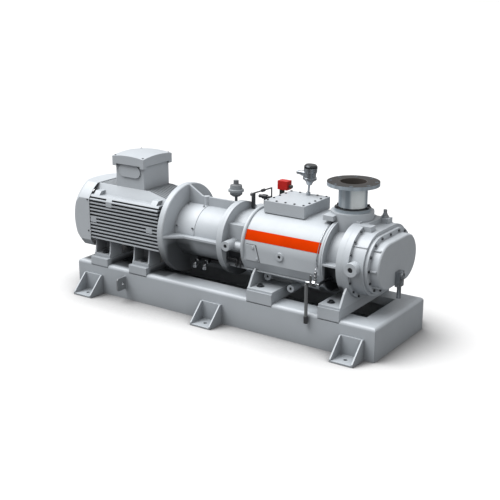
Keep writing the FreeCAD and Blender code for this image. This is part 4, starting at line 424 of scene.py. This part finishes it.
def walls(shape, loops):
    """Adds the faces between each loop of corners and the next."""
    for first, second in zip(loops, loops[1:]):
        for step in range(len(first)):
            after = (step + 1) % len(first)
            shape.faces.new((first[step], first[after], second[after], second[step]))


def bar(shape, path, radii, sides=16):
    """Adds a closed bar along a path to a shape: one radius, or one for each point."""
    points = [Vector(point) for point in path]
    if isinstance(radii, float):
        radii = [radii] * len(points)
    side = None
    loops = []
    for index, point in enumerate(points):
        ahead = points[min(index + 1, len(points) - 1)] - points[max(index - 1, 0)]
        ahead.normalize()
        side = ahead.orthogonal() if side is None else side - ahead * side.dot(ahead)
        side.normalize()
        loops.append(loop_of(shape, point, side, ahead.cross(side), radii[index], sides))
    walls(shape, loops)
    shape.faces.new(loops[0][::-1])
    shape.faces.new(loops[-1])


def bent(corners, radius, steps=8):
    """A path through corners, each rounded by a smooth curve that starts this far from it."""
    corners = [Vector(corner) for corner in corners]
    path = [corners[0]]
    for before, corner, after in zip(corners, corners[1:], corners[2:]):
        start = corner + (before - corner).normalized() * radius
        end = corner + (after - corner).normalized() * radius
        for step in range(steps + 1):
            share = step / steps
            path.append(start.lerp(corner, share).lerp(corner.lerp(end, share), share))
    path.append(corners[-1])
    return path


def nut(shape, start, axis, length, radius, end_radius, chamfer=0.002, sides=6):
    """Adds a nut with chamfered ends that starts at a place and grows along an axis."""
    start, axis = Vector(start), Vector(axis)
    steps = (0.0, chamfer, length - chamfer, length)
    bar(shape, [start + axis * step for step in steps], [end_radius, radius, radius, end_radius], sides)


def screw_head(shape, place, out, steps, radius, top_radius, sides):
    """Adds a round head, straight between its first two steps outward and narrower at the third."""
    place, out = Vector(place), Vector(out)
    bar(shape, [place + out * step for step in steps], [radius, radius, top_radius], sides)


def ring(shape, centre, axis, inner, outer, thickness, sides=40):
    """Adds a flat ring that starts at a centre and grows along an axis."""
    centre, axis = Vector(centre), Vector(axis).normalized()
    side = axis.orthogonal().normalized()
    other = axis.cross(side)
    loops = [loop_of(shape, centre + axis * height, side, other, radius, sides)
             for radius, height in ((inner, 0.0), (outer, 0.0), (outer, thickness), (inner, thickness))]
    walls(shape, loops + loops[:1])


def sheet_piece(shape, outline, front, back):
    """Adds a flat plate with an outline in X and Z, between two places on Y."""
    near = [shape.verts.new((x, front, z)) for x, z in outline]
    far = [shape.verts.new((x, back, z)) for x, z in outline]
    shape.faces.new(near)
    shape.faces.new(far[::-1])
    for index in range(len(outline)):
        after = (index + 1) % len(outline)
        shape.faces.new((near[after], near[index], far[index], far[after]))


def made(name, body, slot, shape, soft=True):
    """Turns a shape into a piece that rides on a body and wears a slot's finish."""
    bmesh.ops.recalc_face_normals(shape, faces=shape.faces[:])
    mesh = bpy.data.meshes.new(name)
    shape.to_mesh(mesh)
    shape.free()
    mesh.materials.append(finishes[slot])
    mesh.polygons.foreach_set("use_smooth", [soft] * len(mesh.polygons))
    mesh.set_sharp_from_angle(angle=SHARP_TURN)
    thing = bpy.data.objects.new(name, mesh)
    bpy.context.scene.collection.objects.link(thing)
    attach(thing, body)


def make_water_elbows():
    """Plated elbows with union nuts on the two hose tails under the lantern."""
    tail_end, tail_z, drop_y, drop_end = -0.168, 0.346, -0.197, 0.301
    shape = bmesh.new()
    for x in (-0.255, -0.171):
        corners = [(x, tail_end, tail_z), (x, drop_y, tail_z), (x, drop_y, drop_end)]
        bar(shape, bent(corners, 0.020), 0.0137)
        nut(shape, (x, tail_end + 0.002, tail_z), (0, -1, 0), 0.016, 0.0182, 0.0165)
        nut(shape, (x, drop_y, drop_end - 0.001), (0, 0, 1), 0.018, 0.0158, 0.0140)
    made("water_elbows", "frame", "fitting_chrome", shape)


def make_capillary():
    """A thin bright line from the inlet pad round the screw housing's end down to the drain valve."""
    x, pad_y, reach = 0.778, -0.049, 0.2325
    start, sweep, parts = 84, 90, 12
    path = []
    for step in range(parts + 1):
        turn = math.radians(start - sweep * step / parts)
        path.append((x, pad_y - reach * math.cos(turn), AXIS + reach * math.sin(turn)))
    valve_x, valve_y = 0.826, -0.372
    corners = [path[-1], (0.790, -0.300, 0.546), (valve_x, valve_y, 0.540), (valve_x, valve_y, 0.447)]
    shape = bmesh.new()
    bar(shape, path[:-1] + bent(corners, 0.025), 0.0024, 10)
    for z in (0.459, 0.481, 0.503):
        nut(shape, (valve_x, valve_y, z), (0, 0, 1), 0.018, 0.0105, 0.006, chamfer=0.003, sides=12)
    made("capillary_line", "frame", "fitting_chrome", shape)


def make_purge_regulator():
    """A dark regulator behind the purge tube, on a stem from the discharge housing."""
    y, z = 0.120, 0.798
    stem_x, stem_start, stem_radius = 0.118, 0.7315, 0.008
    profile = ((0.070, 0.008), (0.074, 0.012), (0.100, 0.012), (0.102, 0.017), (0.136, 0.017),
               (0.138, 0.011), (0.168, 0.011), (0.172, 0.008))
    shape = bmesh.new()
    bar(shape, [(stem_x, y, stem_start), (stem_x, y, z)], stem_radius)
    bar(shape, [(x, y, z) for x, _ in profile], [radius for _, radius in profile])
    made("purge_regulator", "frame", "fitting_dark", shape)


def make_lid_screws():
    """Four sunk screws on the corners of the terminal box's arched lid."""
    lid_x, lid_top, arch = -0.820, AXIS + 0.504, 0.890
    screw_x, screw_y = 0.128, 0.142
    shape = bmesh.new()
    for side_x in (-1, 1):
        for side_y in (-1, 1):
            away_x, away_y = screw_x * side_x, screw_y * side_y
            z = lid_top - arch + math.sqrt(arch ** 2 - away_x ** 2 - away_y ** 2)
            screw_head(shape, (lid_x + away_x, DRIVE_Y + away_y, z), (0, 0, 1),
                       (-0.003, 0.002, 0.004), 0.007, 0.005, 20)
    made("terminal_lid_screws", "frame", "bolt_steel", shape)


def make_foot_washers():
    """Thick dark washers round the bolts that hold the motor and the pump on their beams."""
    inner, thickness = 0.0178, 0.003
    feet = (((-1.030, -0.662), (-0.273, 0.133), 0.2902, 0.023),
            ((0.347, 0.885), (-0.271, 0.271), 0.3012, 0.025))
    shape = bmesh.new()
    for places_x, places_y, z, outer in feet:
        for x in places_x:
            for y in places_y:
                ring(shape, (x, y, z), (0, 0, 1), inner, outer, thickness)
    made("foot_washers", "frame", "bolt_steel", shape)


def make_guard_screws():
    """Dark socket heads on the corner screws of the coupling guards."""
    reach = 0.195
    shape = bmesh.new()
    for x in (-0.364, -0.230):
        for turn in (-72, -14, 14, 72):
            angle = math.radians(turn)
            out = Vector((0, -math.sin(angle), math.cos(angle)))
            place = Vector((x, DRIVE_Y, AXIS)) + out * reach
            screw_head(shape, place, out, (0.0002, 0.0015, 0.0022), 0.0062, 0.0045, 12)
    made("guard_screw_heads", "frame", "bolt_steel", shape)


def make_cover_joint():
    """A dark joint line round the slanted side cover."""
    left, right, right_top, low, high = 0.239, 0.341, 0.309, 0.469, 0.577
    grow = 0.0026
    outline = [(left - grow, low - grow), (right + grow * 1.3, low - grow),
               (right_top + grow, high + grow), (left - grow, high + grow)]
    shape = bmesh.new()
    sheet_piece(shape, outline, -0.2765, -0.2752)
    made("side_cover_joint", "frame", "fitting_dark", shape, soft=False)


def make_sight_ring():
    """A plated ring round the oil sight glass."""
    shape = bmesh.new()
    ring(shape, (1.2241, 0.040, 0.452), (1, 0, 0), 0.017, 0.0245, 0.004)
    made("sight_glass_ring", "frame", "fitting_chrome", shape)


def make_cowl_screws():
    """Dark screws on the sides of the fan cowl."""
    x = -1.138
    shape = bmesh.new()
    for face, out in ((-0.3275, -1), (0.1875, 1)):
        for z in (0.455, 0.690):
            screw_head(shape, (x, face, z), (0, out, 0), (0.0, 0.0015, 0.0028), 0.0065, 0.0048, 16)
    made("cowl_screws", "frame", "bolt_steel", shape)


def make_port_plugs():
    """Black plugs sunk in the round ports on the front of the pump."""
    # X, Z, the Y where the plug starts and where it ends, and its radius
    ports = ((0.110, 0.553, -0.2893, -0.333, 0.0124), (1.035, 0.553, -0.2893, -0.309, 0.0166),
             (0.498, 0.532, -0.2552, -0.280, 0.0105), (0.360, 0.354, -0.1823, -0.205, 0.0095),
             (0.541, 0.304, -0.1823, -0.205, 0.0095))
    shape = bmesh.new()
    for x, z, deep, mouth, radius in ports:
        length = deep - mouth
        screw_head(shape, (x, deep, z), (0, -1, 0), (0.0, length - 0.001, length), radius,
                   radius * 0.9, 28)
    made("port_plugs", "frame", "fitting_dark", shape)


def make_discharge_fittings():
    """A dark line with unions in the recess between the joint flange and the screw housing."""
    y, tube, union, union_end = -0.262, 0.0065, 0.0125, 0.009
    near_x, far_x, wall_y, drop_end = 0.150, 0.180, -0.2375, 0.3985
    shape = bmesh.new()
    bar(shape, bent([(0.0690, y, 0.446), (near_x, y, 0.452), (near_x, y, drop_end)], 0.016), tube)
    for x in (0.074, 0.098, 0.124):
        bar(shape, [(x, y, 0.4465), (x + 0.002, y, 0.4466), (x + 0.013, y, 0.448),
                    (x + 0.015, y, 0.4482)], [union_end, union, union, union_end], 6)
    nut(shape, (near_x, y, 0.404), (0, 0, 1), 0.016, union, union_end)
    bar(shape, bent([(far_x, wall_y, 0.470), (far_x, y, 0.470), (far_x, y, drop_end)], 0.014), tube)
    nut(shape, (far_x, y, 0.424), (0, 0, 1), 0.018, union, union_end)
    made("discharge_fittings", "frame", "fitting_steel", shape)


def seen_rays(tree):
    """1 for rays straight from the camera, 0 for those that light the object."""
    return tree.nodes.new("ShaderNodeLightPath").outputs["Is Camera Ray"]


def make_stage():
    """A white floor that keeps the soft shadow, with a painted shadow darkening it near the object."""
    half = FLOOR_HALF
    mesh = bpy.data.meshes.new("floor")
    mesh.from_pydata([(-half, -half, 0), (half, -half, 0), (half, half, 0), (-half, half, 0)], [],
                     [(0, 1, 2, 3)])
    floor = bpy.data.objects.new("floor", mesh)
    bpy.context.scene.collection.objects.link(floor)
    material = bpy.data.materials.new("floor_white")
    tree, output = tree_of(material)
    diffuse = tree.nodes.new("ShaderNodeBsdfDiffuse")
    near = tree.nodes.new("ShaderNodeAmbientOcclusion")
    near.samples = 8
    near.inputs["Distance"].default_value = FLOOR_SHADOW_REACH
    # painted shadow: the floor the camera sees darkens where ambient occlusion finds the object near
    seen = mixed(tree, spread(tree, near.outputs["AO"], *FLOOR_BAND), FLOOR_PAINTED_SHADOW, FLOOR_SEEN)
    tree.links.new(mixed(tree, seen_rays(tree), FLOOR_UNSEEN, seen), diffuse.inputs["Color"])
    tree.links.new(diffuse.outputs["BSDF"], output.inputs["Surface"])
    mesh.materials.append(material)


def make_light():
    """A plain sky of one strength that the camera sees as white, a wide key light and a weak fill."""
    world = bpy.data.worlds.new("sky")
    bpy.context.scene.world = world
    world.use_nodes = True
    tree = world.node_tree
    tree.nodes.clear()
    output = tree.nodes.new("ShaderNodeOutputWorld")
    sky = tree.nodes.new("ShaderNodeBackground")
    tree.links.new(spread(tree, seen_rays(tree), 0.0, 1.0, SKY_STRENGTH, 1.0), sky.inputs["Strength"])
    sky.inputs["Color"].default_value = (1.0, 1.0, 1.0, 1.0)
    tree.links.new(sky.outputs["Background"], output.inputs["Surface"])
    for name, strength, width, source in (("key", KEY_STRENGTH, KEY_SPREAD, KEY_FROM),
                                          ("fill", FILL_STRENGTH, FILL_SPREAD, FILL_FROM)):
        light = bpy.data.lights.new(name, "SUN")
        light.energy = strength
        light.angle = width
        lamp = bpy.data.objects.new(name, light)
        lamp.rotation_mode = "QUATERNION"
        lamp.rotation_quaternion = source.to_track_quat("Z", "Y")
        bpy.context.scene.collection.objects.link(lamp)


def make_camera():
    """The camera at the photograph's place, turn and lens."""
    data = bpy.data.cameras.new("camera")
    data.lens = CAMERA_LENS
    data.sensor_width = CAMERA_SENSOR
    data.clip_start = 0.1
    data.clip_end = 100.0
    camera = bpy.data.objects.new("camera", data)
    aim = Vector((-math.sin(CAMERA_TURN) * math.cos(CAMERA_DROP),
                  math.cos(CAMERA_TURN) * math.cos(CAMERA_DROP), -math.sin(CAMERA_DROP)))
    camera.location = CAMERA_PLACE
    camera.rotation_mode = "QUATERNION"
    camera.rotation_quaternion = aim.to_track_quat("-Z", "Y")
    bpy.context.scene.collection.objects.link(camera)
    bpy.context.scene.camera = camera


finish_nodes()
make_water_elbows()
make_capillary()
make_purge_regulator()
make_lid_screws()
make_foot_washers()
make_guard_screws()
make_cover_joint()
make_sight_ring()
make_cowl_screws()
make_port_plugs()
make_discharge_fittings()
make_stage()
make_light()
make_camera()
bpy.context.scene.view_settings.view_transform = "Standard"
